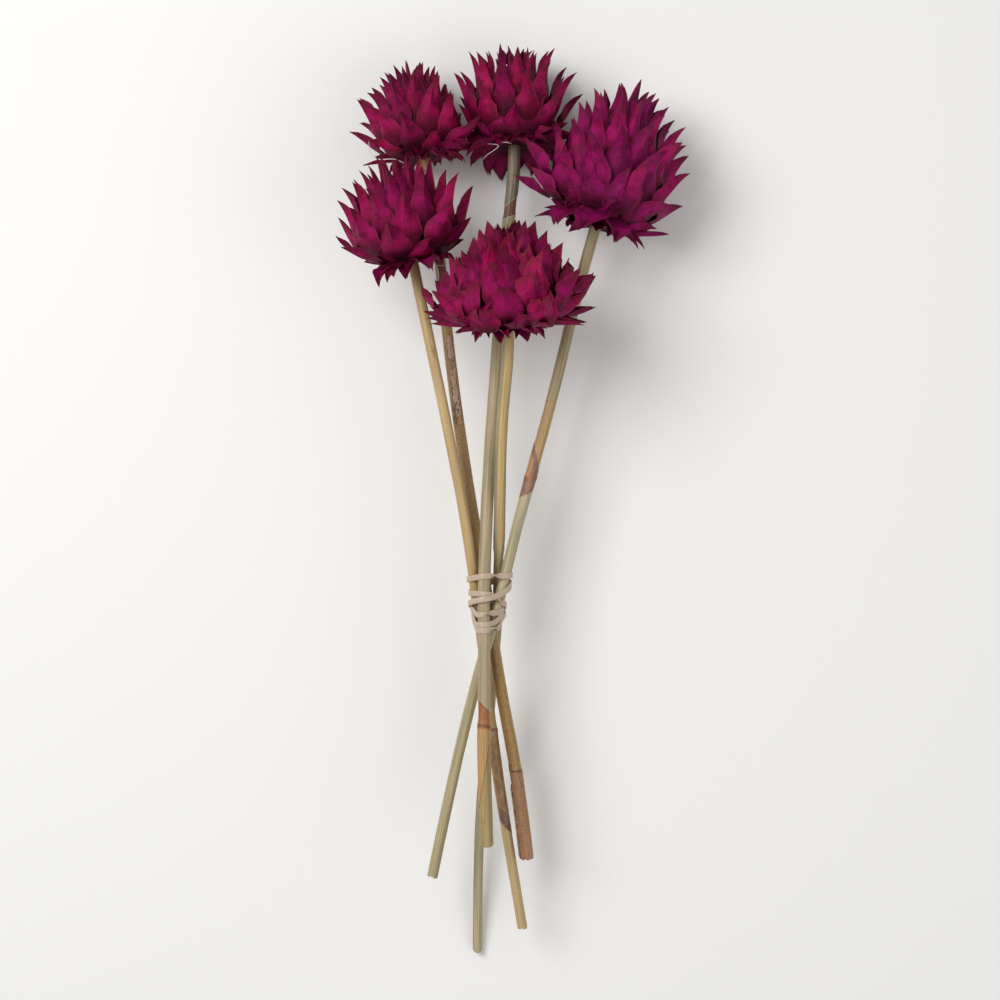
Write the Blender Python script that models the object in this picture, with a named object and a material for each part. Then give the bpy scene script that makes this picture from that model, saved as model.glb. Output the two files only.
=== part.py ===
"""A tied bunch of five dyed dried artichoke heads on reed stems, lying on its side.

The bunch lies on z = 0 as it would on a table. +Y runs from the cut ends of the stems
towards the heads, +X to the right and +Z up. The origin is under the middle of the bunch.

Each head is one body: thin bracts in a golden-angle spiral on an egg-shaped receptacle,
which has a plain hole for its stem. A bract's middle line is a Bezier curve in the plane
through the head's axis. A bract that would touch the table, another head or a stem is
bent towards its own axis until it is clear.
"""
import math
import random

import bmesh
import bpy
from mathutils import Vector

MM = 0.001
GAP = 0.35
UP = Vector((0.0, 0.0, 1.0))
# Moves the whole bunch, laid out below from the band's place, so that its middle is over
# the origin.
SHIFT = Vector((-1.9, 2.8, 0.0))

# Stems, in millimetres: radius at places along the stem from the head, ribs round the stem,
# and the middle line from under the head to the cut end. The two points at the head are
# worked out from the head.
STEMS = {
    "stem_back_left": {
        "radius": [(0.0, 3.0), (399.0, 3.5)],
        "ribs": 0,
        "route": [
            (-34.8, 93.3, 39.6), (-18.0, -22.9, 44.0), (-12.45, -56.0, 44.5),
            (-9.95, -74.2, 43.4), (-8.1, -86.5, 42.3), (-3.9, -111.4, 41.0),
            (3.2, -150.3, 39.5), (9.5, -199.2, 38.0),
        ],
        "joints": [350.0],
    },
    "stem_back_middle": {
        "radius": [(0.0, 3.2), (324.2, 3.2), (333.8, 3.65), (394.0, 3.65)],
        "ribs": 6,
        "route": [
            (-1.1, 151.8, 35.5), (-6.3, 91.5, 42.3), (-13.5, -22.8, 53.6), (-14.3, -55.6, 57.0),
            (-14.2, -85.5, 60.2), (-14.3, -118.1, 62.8), (-12.6, -188.8, 69.0),
        ],
        "joints": [46.5, 329.0],
    },
    "stem_right": {
        "radius": [(0.0, 3.15), (376.0, 2.9)],
        "ribs": 0,
        "route": [
            (23.0, 54.4, 46.2), (9.4, 4.7, 49.3), (2.2, -22.8, 50.5), (-6.0, -55.7, 51.9),
            (-10.8, -73.3, 52.5), (-14.8, -87.6, 52.9), (-21.0, -110.6, 53.4), (-42.7, -207.9, 56.5),
        ],
        "joints": [150.0],
    },
    "stem_front_left": {
        "radius": [(0.0, 2.95), (380.0, 2.85)],
        "ribs": 0,
        "route": [
            (-45.2, 91.9, 64.0), (-32.9, 32.0, 57.9), (-23.0, -22.8, 52.3), (-18.4, -55.8, 49.0),
            (-16.1, -73.5, 47.2), (-14.4, -87.9, 45.9), (-11.9, -111.2, 43.4), (-3.3, -175.6, 36.0),
            (7.0, -238.7, 29.0),
        ],
        "joints": [266.5],
    },
    "stem_front_middle": {
        "radius": [(0.0, 3.3), (126.7, 3.2), (136.3, 2.6), (366.0, 2.7)],
        "ribs": 0,
        "route": [
            (-3.6, 52.0, 69.6), (-6.0, -22.8, 49.5), (-6.8, -50.5, 42.6), (-7.3, -74.5, 37.0),
            (-8.1, -84.0, 35.0), (-10.5, -112.2, 29.4), (-16.1, -169.0, 18.5), (-17.4, -197.8, 13.0),
            (-18.2, -256.8, 2.46),
        ],
        "joints": [131.5],
    },
}
STEM_SIDES = 10
STEM_STEP = 26.0
RIB_DEPTH = 0.09
JOINT_SWELL = 0.10
JOINT_REACH = 4.8
JOINT_RINGS = (-JOINT_REACH, -1.5, 1.5, JOINT_REACH)
TANGENT_REACH = 0.5
SOCKET_DEPTH = 8.0
NECK_LENGTH = 7.0

# Heads, in millimetres and degrees. base is where the stem enters, lean turns the axis from
# +Y towards +X and rise lifts it. core is the receptacle: radius, height of its widest
# place, whole height. Pairs run from the outermost bract to the innermost. The three
# angles of a bract are of its root, belly and tip, from 0 straight out to 90 along the axis.
HEADS = {
    "head_back_left": {
        "stem": "stem_back_left", "base": (-47.0, 187.5, 33.5), "lean": -9.0, "rise": -5.0,
        "turn": 20.0, "core": (24.0, 12.0, 33.0), "count": 42,
        "length": (20.0, 33.0, 20.0), "width": (15.0, 16.0, 7.5), "belly": (78.0, 112.0),
        "tip": (30.0, 96.0), "outline": "spined", "skirt": (9, 15.0, 7.0, -38.0), "seed": 11,
    },
    "head_back_middle": {
        "stem": "stem_back_middle", "base": (2.5, 195.0, 32.0), "lean": 3.0, "rise": -7.0,
        "turn": 75.0, "core": (23.5, 14.0, 38.0), "count": 44,
        "length": (20.0, 33.0, 22.0), "width": (14.5, 15.5, 7.5), "belly": (78.0, 110.0),
        "tip": (32.0, 94.0), "outline": "spined", "skirt": (10, 22.0, 8.0, -64.0), "seed": 23,
    },
    "head_right": {
        "stem": "stem_right", "base": (47.0, 149.0, 40.0), "lean": 18.0, "rise": -2.0,
        "turn": 130.0, "core": (31.5, 20.0, 56.0), "count": 50,
        "length": (26.0, 37.0, 23.0), "width": (20.0, 21.5, 11.0), "belly": (78.0, 112.0),
        "tip": (22.0, 88.0), "outline": "pointed", "skirt": (11, 17.0, 10.0, -50.0), "seed": 37,
    },
    "head_front_left": {
        "stem": "stem_front_left", "base": (-52.4, 127.0, 67.8), "lean": -8.0, "rise": 4.0,
        "turn": 10.0, "core": (27.5, 13.0, 32.0), "count": 42,
        "length": (20.0, 35.0, 22.0), "width": (16.0, 18.5, 8.5), "belly": (80.0, 102.0),
        "tip": (38.0, 94.0), "outline": "spined", "skirt": (8, 16.0, 9.0, -55.0), "seed": 41,
    },
    "head_front_middle": {
        "stem": "stem_front_middle", "base": (-1.5, 92.0, 80.5), "lean": 1.0, "rise": 14.0,
        "turn": 40.0, "core": (35.0, 12.0, 41.0), "count": 54,
        "length": (22.0, 29.0, 19.0), "width": (17.0, 18.5, 10.5), "belly": (76.0, 114.0),
        "tip": (46.0, 98.0), "outline": "torn", "skirt": (16, 36.0, 6.5, 12.0), "seed": 53,
    },
}
CORE_SIDES = 12
CORE_ROWS = 3
CORE_FINE_ROWS = 40
CORE_BASE = 0.42
CORE_TOP = 0.30

# Roots: the share of the receptacle's area where the first and last one stand, how deep
# they are sunk, and how much flatter than the receptacle and how steep at most they rise.
GOLDEN_TURN = 137.50776
ROOT_FIRST = 0.02
ROOT_LAST = 0.97
ROOT_SUNK = 2.2
ROOT_LIFT = 10.0
ROOT_STEEPEST = 112.0

# Bracts: the shares of the length in the three legs of the middle line, the thickness, how
# far the edges bow back, and the shares of the rows with the longest bract and with necks.
LEGS = (0.36, 0.34, 0.30)
BRACT_THICK = 0.8
BRACT_BOW = 1.0
LONGEST = 0.22
NECKED = 0.55
TIP_TURN_POWER = 0.7
JITTER = 4.0
LENGTH_SPREAD = (0.95, 1.04)
SKEW_SPREAD = 0.10

# Drooping bracts at the base: where they stand, how they leave the base, and their spread.
SKIRT_INSET = 0.5
SKIRT_HEIGHT = 1.2
SKIRT_ROOT_ANGLE = 8.0
SKIRT_BELLY_SHARE = 0.6
SKIRT_LENGTH_SPREAD = (0.8, 1.1)
SKIRT_WIDTH_SPREAD = (0.85, 1.1)
SKIRT_TURN_SPREAD = 0.2
SKIRT_SKEW_SPREAD = 0.15
SKIRT_JITTER = 12.0

# Widths of a bract at its stations from root to tip, as shares of its full width.
STATIONS = (0.0, 0.44, 0.73, 1.0)
OUTLINES = {
    "spined": (0.0, 1.0, 0.34, 0.0),
    "pointed": (0.0, 1.0, 0.48, 0.0),
    "torn": (0.0, 1.0, 0.68, 0.0),
    "skirt": (0.0, 1.0, 0.60, 0.0),
}

# A bract that isn't clear is bent in steps, its root less than its belly and tip, and then
# made smaller. It is tested at these shares of its length.
BEND_STEP = 4.0
BENDS = 18
ROOT_BEND_SHARE = 0.3
BELLY_STEEPEST = 130.0
TIP_STEEPEST = 150.0
SHRINK = 0.82
SHRINKS = 4
TEST_PLACES = (0.25, 0.42, 0.58, 0.74, 0.87, 1.0)
CLEAR_OF_PLANE = 0.2
CLEAR_OF_STEM = 1.0
STEM_TEST_STEP = 4.0

# Planes that keep neighbouring heads apart, each through the point, first head on the side
# that the arrow leaves, second head on the side that it points to.
PLANES = [
    ("head_back_left", "head_back_middle", (-22.9, 210.0, 32.0), (1.0, 0.05, 0.0)),
    ("head_back_middle", "head_right", (28.3, 198.6, 36.7), (0.80, -0.43, 0.42)),
    ("head_front_left", "head_back_left", (-50.0, 179.0, 50.0), (0.05, 0.90, -0.42)),
    ("head_front_left", "head_front_middle", (-28.3, 129.6, 74.9), (0.86, -0.50, 0.10)),
    ("head_front_middle", "head_right", (34.0, 135.0, 62.0), (0.70, 0.35, -0.62)),
    ("head_front_middle", "head_back_middle", (0.0, 170.0, 55.0), (0.0, 0.80, -0.60)),
]

# Rubber band, in millimetres: one closed band, wound down the bundle and once back up
# over its own turns. The places are along Y, on top of the bundle, turn by turn.
BAND_WIDTH = 2.9
BAND_THICK = 1.0
BAND_GAP = 0.45
BAND_TURNS = (-43.2, -52.0, -59.2, -64.3, -69.7, -73.6)
BAND_STEPS = 20
BAND_CORNERS = ((-0.5, -0.5), (0.5, -0.5), (0.5, 0.5), (-0.5, 0.5))
RETURN_BLEND = 0.10
HALVINGS = 24

# Points of a union that are nearer than this, in metres, become one.
MERGE = 0.000001

MATERIALS = {
    "dyed_bracts": ((0.245, 0.010, 0.058, 1.0), 0.62),
    "reed": ((0.445, 0.335, 0.185, 1.0), 0.58),
    "natural_rubber": ((0.560, 0.420, 0.300, 1.0), 0.50),
}


def clear_scene():
    for obj in list(bpy.data.objects):
        bpy.data.objects.remove(obj, do_unlink=True)


def make_material(name):
    """A plain Principled finish in the colour that the piece has."""
    colour, roughness = MATERIALS[name]
    material = bpy.data.materials.new(name)
    material.use_nodes = True
    shader = material.node_tree.nodes["Principled BSDF"]
    shader.inputs["Base Color"].default_value = colour
    shader.inputs["Roughness"].default_value = roughness
    shader.inputs["Metallic"].default_value = 0.0
    return material


def mesh_object(name, points, faces, material=None):
    """Makes an object from points in millimetres, with its faces turned outwards."""
    mesh = bpy.data.meshes.new(name)
    mesh.from_pydata([(Vector(p) + SHIFT) * MM for p in points], [], faces)
    shape = bmesh.new()
    shape.from_mesh(mesh)
    bmesh.ops.recalc_face_normals(shape, faces=shape.faces)
    shape.to_mesh(mesh)
    shape.free()
    obj = bpy.data.objects.new(name, mesh)
    bpy.context.scene.collection.objects.link(obj)
    if material:
        mesh.materials.append(material)
    return obj


def mix(a, b, t):
    return a + (b - a) * t


def ease(t):
    t = min(max(t, 0.0), 1.0)
    return t * t * (3.0 - 2.0 * t)


def head_axes(head):
    """The head's axis, and two directions across it."""
    lean = math.radians(head["lean"])
    rise = math.radians(head["rise"])
    along = Vector((math.sin(lean) * math.cos(rise), math.cos(lean) * math.cos(rise), math.sin(rise)))
    side = Vector((math.cos(lean), -math.sin(lean), 0.0))
    return along, side, along.cross(side)


def natural_spline(points):
    """A natural cubic curve through the points: its place by distance, and its length."""
    count = len(points)
    knots = [0.0]
    for a, b in zip(points, points[1:]):
        knots.append(knots[-1] + (b - a).length)
    spans = [knots[i + 1] - knots[i] for i in range(count - 1)]
    upper = [0.0] * count
    right = [Vector((0.0, 0.0, 0.0))] * count
    for i in range(1, count - 1):
        pull = 6.0 * ((points[i + 1] - points[i]) / spans[i] - (points[i] - points[i - 1]) / spans[i - 1])
        pivot = 2.0 * (spans[i - 1] + spans[i]) - spans[i - 1] * upper[i - 1]
        upper[i] = spans[i] / pivot
        right[i] = (pull - spans[i - 1] * right[i - 1]) / pivot
    bend = [Vector((0.0, 0.0, 0.0))] * count
    for i in range(count - 2, 0, -1):
        bend[i] = right[i] - upper[i] * bend[i + 1]

    def at(place):
        i = 0
        while i < count - 2 and place > knots[i + 1]:
            i += 1
        span = spans[i]
        a = (knots[i + 1] - place) / span
        b = 1.0 - a
        curve = (a ** 3 - a) * bend[i] + (b ** 3 - b) * bend[i + 1]
        return a * points[i] + b * points[i + 1] + curve * (span * span / 6.0)

    return at, knots[-1]


def stem_route(name):
    """The stem's whole middle line: its own points, led into its head's socket."""
    head = next(h for h in HEADS.values() if h["stem"] == name)
    along = head_axes(head)[0]
    base = Vector(head["base"])
    points = [base + along * (SOCKET_DEPTH - GAP), base - along * NECK_LENGTH]
    points += [Vector(p) for p in STEMS[name]["route"]]
    return natural_spline(points)


def stem_radius(name, place):
    """The stem's radius at a place along it, straight between the places of its table."""
    radii = STEMS[name]["radius"]
    for (low, first), (high, second) in zip(radii, radii[1:]):
        if place <= high:
            return mix(first, second, (place - low) / (high - low))
    return radii[-1][1]


def stem_places(name, length):
    """Where along the stem its rings of points stand: evenly, and close at each joint."""
    count = round(length / STEM_STEP)
    places = [i * length / count for i in range(count + 1)]
    for joint in STEMS[name]["joints"]:
        places = [p for p in places if abs(p - joint) > JOINT_REACH + 1.0]
        places += [joint + step for step in JOINT_RINGS]
    return sorted(places)


def ring_frame(at, place, length):
    """Middle, and two directions across a curve at a place on it."""
    ahead = at(min(place + TANGENT_REACH, length)) - at(max(place - TANGENT_REACH, 0.0))
    ahead.normalize()
    across = ahead.cross(UP).normalized()
    return at(place), across, across.cross(ahead)


def add_rings(rings):
    """Points and triangles of a closed tube through rings of equal counts."""
    sides = len(rings[0])
    points = [p for ring in rings for p in ring]
    faces = []
    for i in range(len(rings) - 1):
        for j in range(sides):
            k = (j + 1) % sides
            a, b = i * sides + j, i * sides + k
            c, d = a + sides, b + sides
            faces += [(a, b, d), (a, d, c)]
    faces.append(tuple(range(sides)))
    faces.append(tuple(range(len(points) - sides, len(points))))
    return points, faces


def make_stem(name, material):
    """One cut reed: a tube that swells at its joints, ribbed where the stem is."""
    stem = STEMS[name]
    at, length = stem_route(name)
    sides = 2 * stem["ribs"] if stem["ribs"] else STEM_SIDES
    rings = []
    for place in stem_places(name, length):
        middle, across, up = ring_frame(at, place, length)
        swell = sum(ease(1.0 - abs(place - joint) / JOINT_REACH) for joint in stem["joints"])
        radius = stem_radius(name, place) * (1.0 + JOINT_SWELL * swell)
        ring = []
        for j in range(sides):
            angle = 2.0 * math.pi * j / sides
            reach = radius * (1.0 - RIB_DEPTH if stem["ribs"] and j % 2 else 1.0)
            ring.append(middle + (across * math.cos(angle) + up * math.sin(angle)) * reach)
        rings.append(ring)
    points, faces = add_rings(rings)
    return mesh_object(name, points, faces, material)


def core_outline(head, count):
    """Radius and height of the receptacle from its base edge to its top edge."""
    radius, waist, height = head["core"]
    first = math.asin(CORE_BASE)
    last = math.acos(CORE_TOP)
    points = []
    for i in range(count):
        angle = mix(first, math.pi / 2.0, i / count)
        points.append((radius * math.sin(angle), waist * (1.0 - math.cos(angle) / math.cos(first))))
    for i in range(count + 1):
        angle = mix(0.0, last, i / count)
        points.append((radius * math.cos(angle), waist + (height - waist) * math.sin(angle) / math.sin(last)))
    return points


def make_core(name, head):
    """The receptacle, turned about the head's axis, with the socket of its stem."""
    along, side, cross = head_axes(head)
    base = Vector(head["base"])
    outline = core_outline(head, CORE_ROWS)
    hole = (stem_radius(head["stem"], 0.0) + GAP) / math.cos(math.pi / CORE_SIDES)
    profile = [(hole, SOCKET_DEPTH), (hole, 0.0)] + outline
    rings = []
    for radius, height in profile:
        ring = []
        for j in range(CORE_SIDES):
            angle = 2.0 * math.pi * j / CORE_SIDES
            out = side * math.cos(angle) + cross * math.sin(angle)
            ring.append(base + out * radius + along * height)
        rings.append(ring)
    points, faces = add_rings(rings)
    return mesh_object(name, points, faces)


def root_places(head, count):
    """Roots over the receptacle, spaced evenly by area and closer where bracts are small."""
    outline = core_outline(head, CORE_FINE_ROWS)
    total = [0.0]
    for (r0, h0), (r1, h1) in zip(outline, outline[1:]):
        share = len(total) / len(outline)
        size = three_way(head["width"], share)
        total.append(total[-1] + math.hypot(r1 - r0, h1 - h0) * (r0 + r1) / size ** 2)
    places = []
    for k in range(count):
        share = mix(ROOT_FIRST, ROOT_LAST, k / (count - 1))
        want = share * total[-1]
        i = next(i for i in range(1, len(total)) if total[i] >= want) - 1
        t = (want - total[i]) / (total[i + 1] - total[i])
        (r0, h0), (r1, h1) = outline[i], outline[i + 1]
        slope = math.degrees(math.atan2(h1 - h0, r1 - r0))
        places.append((mix(r0, r1, t), mix(h0, h1, t), slope))
    return places


def bract_point(bract, t, x, off):
    """A point of a bract in its head's own radius, angle and height.

    t runs from root to tip, x from -1 to 1 across it, off is how far out of its surface.
    """
    angles = [math.radians(a) for a in bract["angles"]]
    legs = [bract["length"] * leg for leg in LEGS]
    marks = [(bract["root"][0], bract["root"][1])]
    for angle, leg in zip(angles, legs):
        marks.append((marks[-1][0] + leg * math.cos(angle), marks[-1][1] + leg * math.sin(angle)))
    s = 1.0 - t
    weights = (s ** 3, 3 * s * s * t, 3 * s * t * t, t ** 3)
    radius = sum(w * m[0] for w, m in zip(weights, marks))
    height = sum(w * m[1] for w, m in zip(weights, marks))
    slopes = (s * s * legs[0], 2 * s * t * legs[1], t * t * legs[2])
    run = sum(w * math.cos(a) for w, a in zip(slopes, angles))
    climb = sum(w * math.sin(a) for w, a in zip(slopes, angles))
    steep = math.hypot(run, climb)
    half = 0.5 * bract["width"] * outline_width(bract["outline"], t)
    off = off - BRACT_BOW * x * x * half / (0.5 * bract["width"])
    around = max(radius, 0.5 * bract["width"])
    angle = bract["turn"] + bract["skew"] * t * t + x * half / around
    return radius + off * climb / steep, angle, height - off * run / steep


def three_way(values, u):
    """A size that goes from the outermost bract's to the longest one's to the innermost's."""
    outer, longest, inner = values
    if u < LONGEST:
        return mix(outer, longest, ease(u / LONGEST))
    return mix(longest, inner, (u - LONGEST) / (1.0 - LONGEST))


def outline_width(name, t):
    widths = OUTLINES[name]
    for i in range(len(STATIONS) - 1):
        if t <= STATIONS[i + 1]:
            share = (t - STATIONS[i]) / (STATIONS[i + 1] - STATIONS[i])
            return mix(widths[i], widths[i + 1], share)
    return widths[-1]


def to_world(head, place):
    along, side, cross = head_axes(head)
    radius, angle, height = place
    out = side * math.cos(angle) + cross * math.sin(angle)
    return Vector(head["base"]) + out * radius + along * height


def bract_shape(head, bract):
    """A closed blade: an outer and an inner face of the same triangles, and its edges.

    Each face has one point at the root, three across the belly, three across the neck
    except in a small inner bract, and one at the tip.
    """
    places = [(STATIONS[0], 0.0)]
    places += [(STATIONS[1], x) for x in (-1.0, 0.0, 1.0)]
    face = [(0, 1, 2), (0, 2, 3)]
    if bract["necked"]:
        places += [(STATIONS[2], x) for x in (-1.0, 0.0, 1.0)]
        face += [(1, 4, 2), (2, 4, 5), (2, 5, 6), (2, 6, 3), (4, 7, 5), (5, 7, 6)]
        rim = [0, 3, 6, 7, 4, 1]
    else:
        face += [(1, 4, 2), (2, 4, 3)]
        rim = [0, 3, 4, 1]
    places += [(STATIONS[3], 0.0)]
    count = len(places)
    points = [to_world(head, bract_point(bract, t, x, 0.5 * BRACT_THICK)) for t, x in places]
    points += [to_world(head, bract_point(bract, t, x, -0.5 * BRACT_THICK)) for t, x in places]
    faces = list(face)
    faces += [(a + count, c + count, b + count) for a, b, c in face]
    for a, b in zip(rim, rim[1:] + rim[:1]):
        faces += [(a, b, b + count), (a, b + count, a + count)]
    return points, faces


def stem_lines():
    """Middle points of every stem, for keeping the bracts clear of them."""
    lines = {}
    for name, stem in STEMS.items():
        at, length = stem_route(name)
        count = round(length / STEM_TEST_STEP)
        lines[name] = [at(length * i / count) for i in range(count + 1)]
    return lines


def is_clear(name, head, bract, lines):
    """True where the bract is off the table, its neighbours' planes and every stem."""
    for t in TEST_PLACES:
        for x in (-1.0, 0.0, 1.0):
            point = to_world(head, bract_point(bract, t, x, 0.0))
            if point.z < 0.5 * BRACT_THICK:
                return False
            for first, second, place, arrow in PLANES:
                if name in (first, second):
                    sign = 1.0 if name == second else -1.0
                    depth = sign * (point - Vector(place)).dot(Vector(arrow).normalized())
                    if depth < 0.5 * BRACT_THICK + CLEAR_OF_PLANE:
                        return False
            for stem, line in lines.items():
                widest = max(radius for place, radius in STEMS[stem]["radius"])
                reach = widest * (1.0 + JOINT_SWELL) + 0.5 * BRACT_THICK + CLEAR_OF_STEM
                near = min((point - p).length_squared for p in line)
                if near < reach * reach:
                    return False
    return True


def bend_clear(name, head, bract, lines):
    """Bends the bract towards the axis, and then makes it shorter, until it is clear."""
    angles = bract["angles"]
    for _ in range(SHRINKS):
        for step in range(BENDS):
            turn = step * BEND_STEP
            bract["angles"] = (
                angles[0] + ROOT_BEND_SHARE * turn,
                min(angles[1] + turn, BELLY_STEEPEST),
                min(angles[2] + turn, TIP_STEEPEST),
            )
            if is_clear(name, head, bract, lines):
                return bract
        bract["length"] *= SHRINK
        bract["width"] *= SHRINK
    return None


def plan_bracts(name, head, lines):
    """Every bract of a head, from the outermost row to the innermost, and the base ones."""
    random.seed(head["seed"])
    bracts = []
    count = head["count"]
    for k, (radius, height, slope) in enumerate(root_places(head, count)):
        u = k / (count - 1)
        root = math.radians(slope)
        length = three_way(head["length"], u) * random.uniform(*LENGTH_SPREAD)
        hug = slope + math.degrees(0.5 * length / head["core"][0]) - 0.4 * ROOT_LIFT
        belly = min(mix(head["belly"][0], head["belly"][1], u), hug)
        tip = mix(head["tip"][0], head["tip"][1], u ** TIP_TURN_POWER)
        bracts.append({
            "root": (radius - ROOT_SUNK * math.sin(root), height + ROOT_SUNK * math.cos(root)),
            "angles": (
                min(slope - ROOT_LIFT, ROOT_STEEPEST),
                belly,
                tip + random.uniform(-JITTER, JITTER),
            ),
            "length": length,
            "width": three_way(head["width"], u),
            "turn": math.radians(head["turn"] + k * GOLDEN_TURN + random.uniform(-JITTER, JITTER)),
            "skew": random.uniform(-SKEW_SPREAD, SKEW_SPREAD),
            "outline": head["outline"],
            "necked": u < NECKED,
        })
    count, length, width, fall = head["skirt"]
    edge = CORE_BASE * head["core"][0]
    for k in range(count):
        droop = fall + random.uniform(-SKIRT_JITTER, SKIRT_JITTER)
        place = k + random.uniform(-SKIRT_TURN_SPREAD, SKIRT_TURN_SPREAD)
        bracts.append({
            "root": (edge - SKIRT_INSET, SKIRT_HEIGHT),
            "angles": (SKIRT_ROOT_ANGLE, mix(SKIRT_ROOT_ANGLE, droop, SKIRT_BELLY_SHARE), droop),
            "length": length * random.uniform(*SKIRT_LENGTH_SPREAD),
            "width": width * random.uniform(*SKIRT_WIDTH_SPREAD),
            "turn": math.radians(head["turn"] + place * 360.0 / count),
            "skew": random.uniform(-SKIRT_SKEW_SPREAD, SKIRT_SKEW_SPREAD),
            "outline": "skirt",
            "necked": False,
        })
    bent = [bend_clear(name, head, bract, lines) for bract in bracts]
    return [bract for bract in bent if bract]


def keep_largest_shell(obj):
    """Drops what the union leaves loose or sealed inside, and joins near points."""
    shape = bmesh.new()
    shape.from_mesh(obj.data)
    bmesh.ops.triangulate(shape, faces=shape.faces)
    bmesh.ops.remove_doubles(shape, verts=shape.verts, dist=MERGE)
    shape.verts.ensure_lookup_table()
    waiting = set(shape.verts)
    shells = []
    while waiting:
        start = waiting.pop()
        shell, edge = {start}, [start]
        while edge:
            vert = edge.pop()
            for link in vert.link_edges:
                other = link.other_vert(vert)
                if other in waiting:
                    waiting.remove(other)
                    shell.add(other)
                    edge.append(other)
        shells.append(shell)
    largest = max(shells, key=len)
    bmesh.ops.delete(shape, geom=[v for v in shape.verts if v not in largest], context="VERTS")
    shape.to_mesh(obj.data)
    shape.free()


def make_head(name, head, material, lines):
    """One head: its receptacle and all its bracts, joined by one union."""
    core = make_core(name, head)
    bracts = bpy.data.collections.new(name + "_bracts")
    bpy.context.scene.collection.children.link(bracts)
    for k, bract in enumerate(plan_bracts(name, head, lines)):
        blade = mesh_object(f"{name}_bract_{k}", *bract_shape(head, bract))
        bpy.context.scene.collection.objects.unlink(blade)
        bracts.objects.link(blade)
    union = core.modifiers.new("Union", "BOOLEAN")
    union.operation = "UNION"
    union.operand_type = "COLLECTION"
    union.collection = bracts
    union.solver = "EXACT"
    bpy.context.view_layer.update()
    joined = bpy.data.meshes.new_from_object(core.evaluated_get(bpy.context.evaluated_depsgraph_get()))
    core.modifiers.clear()
    core.data = joined
    joined.name = name
    for blade in list(bracts.objects):
        bpy.data.objects.remove(blade, do_unlink=True)
    bpy.data.collections.remove(bracts)
    keep_largest_shell(core)
    joined.materials.clear()
    joined.materials.append(material)
    return core


def bundle_edge(routes, place, angle, spare):
    """The point of a tight loop round the five stems that faces one way, at one place."""
    facing = (math.cos(angle), math.sin(angle))
    best = None
    for name, (at, length) in routes.items():
        low, high = 0.0, length
        for _ in range(HALVINGS):
            middle = 0.5 * (low + high)
            if at(middle).y > place:
                low = middle
            else:
                high = middle
        centre = at(low)
        reach = stem_radius(name, low) + spare
        support = centre.x * facing[0] + centre.z * facing[1] + reach
        if best is None or support > best[0]:
            best = (support, centre.x + facing[0] * reach, centre.z + facing[1] * reach)
    return best[1], best[2]


def make_band(material):
    """The rubber band: a flat strip down round the stems and back up over its turns."""
    routes = {name: stem_route(name) for name in STEMS}
    turns = len(BAND_TURNS)
    steps = turns * BAND_STEPS
    rings = []
    for i in range(steps):
        turn, share = divmod(i, BAND_STEPS)
        share = share / BAND_STEPS
        angle = 0.5 * math.pi - 2.0 * math.pi * share
        last = turn == turns - 1
        after = BAND_TURNS[0] if last else BAND_TURNS[turn + 1]
        place = mix(BAND_TURNS[turn], after, ease(share) if last else share)
        rides = ease(share / RETURN_BLEND) * ease((1.0 - share) / RETURN_BLEND) if last else 0.0
        spare = BAND_GAP + 0.5 * BAND_THICK + rides * (BAND_THICK + BAND_GAP)
        ring = []
        for across, out in BAND_CORNERS:
            y = place + across * BAND_WIDTH
            x, z = bundle_edge(routes, y, angle, spare + out * BAND_THICK)
            ring.append((x, y, z))
        rings.append(ring)
    points = [p for ring in rings for p in ring]
    faces = []
    for i in range(steps):
        for j in range(4):
            a, b = 4 * i + j, 4 * i + (j + 1) % 4
            c, d = 4 * ((i + 1) % steps) + j, 4 * ((i + 1) % steps) + (j + 1) % 4
            faces += [(a, b, d), (a, d, c)]
    return mesh_object("rubber_band", points, faces, material)


def main():
    clear_scene()
    materials = {name: make_material(name) for name in MATERIALS}
    lines = stem_lines()
    for name in STEMS:
        make_stem(name, materials["reed"])
    for name, head in HEADS.items():
        make_head(name, head, materials["dyed_bracts"], lines)
    make_band(materials["natural_rubber"])


main()
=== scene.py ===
# %% [markdown]
# A tied bunch of five dyed dried artichoke heads, lying on its side.
#
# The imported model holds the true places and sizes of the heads, the reed stems and the
# rubber band. This lesson dresses it: thin bracts in golden-angle rows, ribbed reeds with
# joints and torn leaf sheaths, and a stretched band. Geometry Nodes make what follows a
# rule, and short Python functions work out the rules' numbers.

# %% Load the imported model
import math
import random

import bmesh
import bpy
from mathutils import Matrix, Vector


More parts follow.
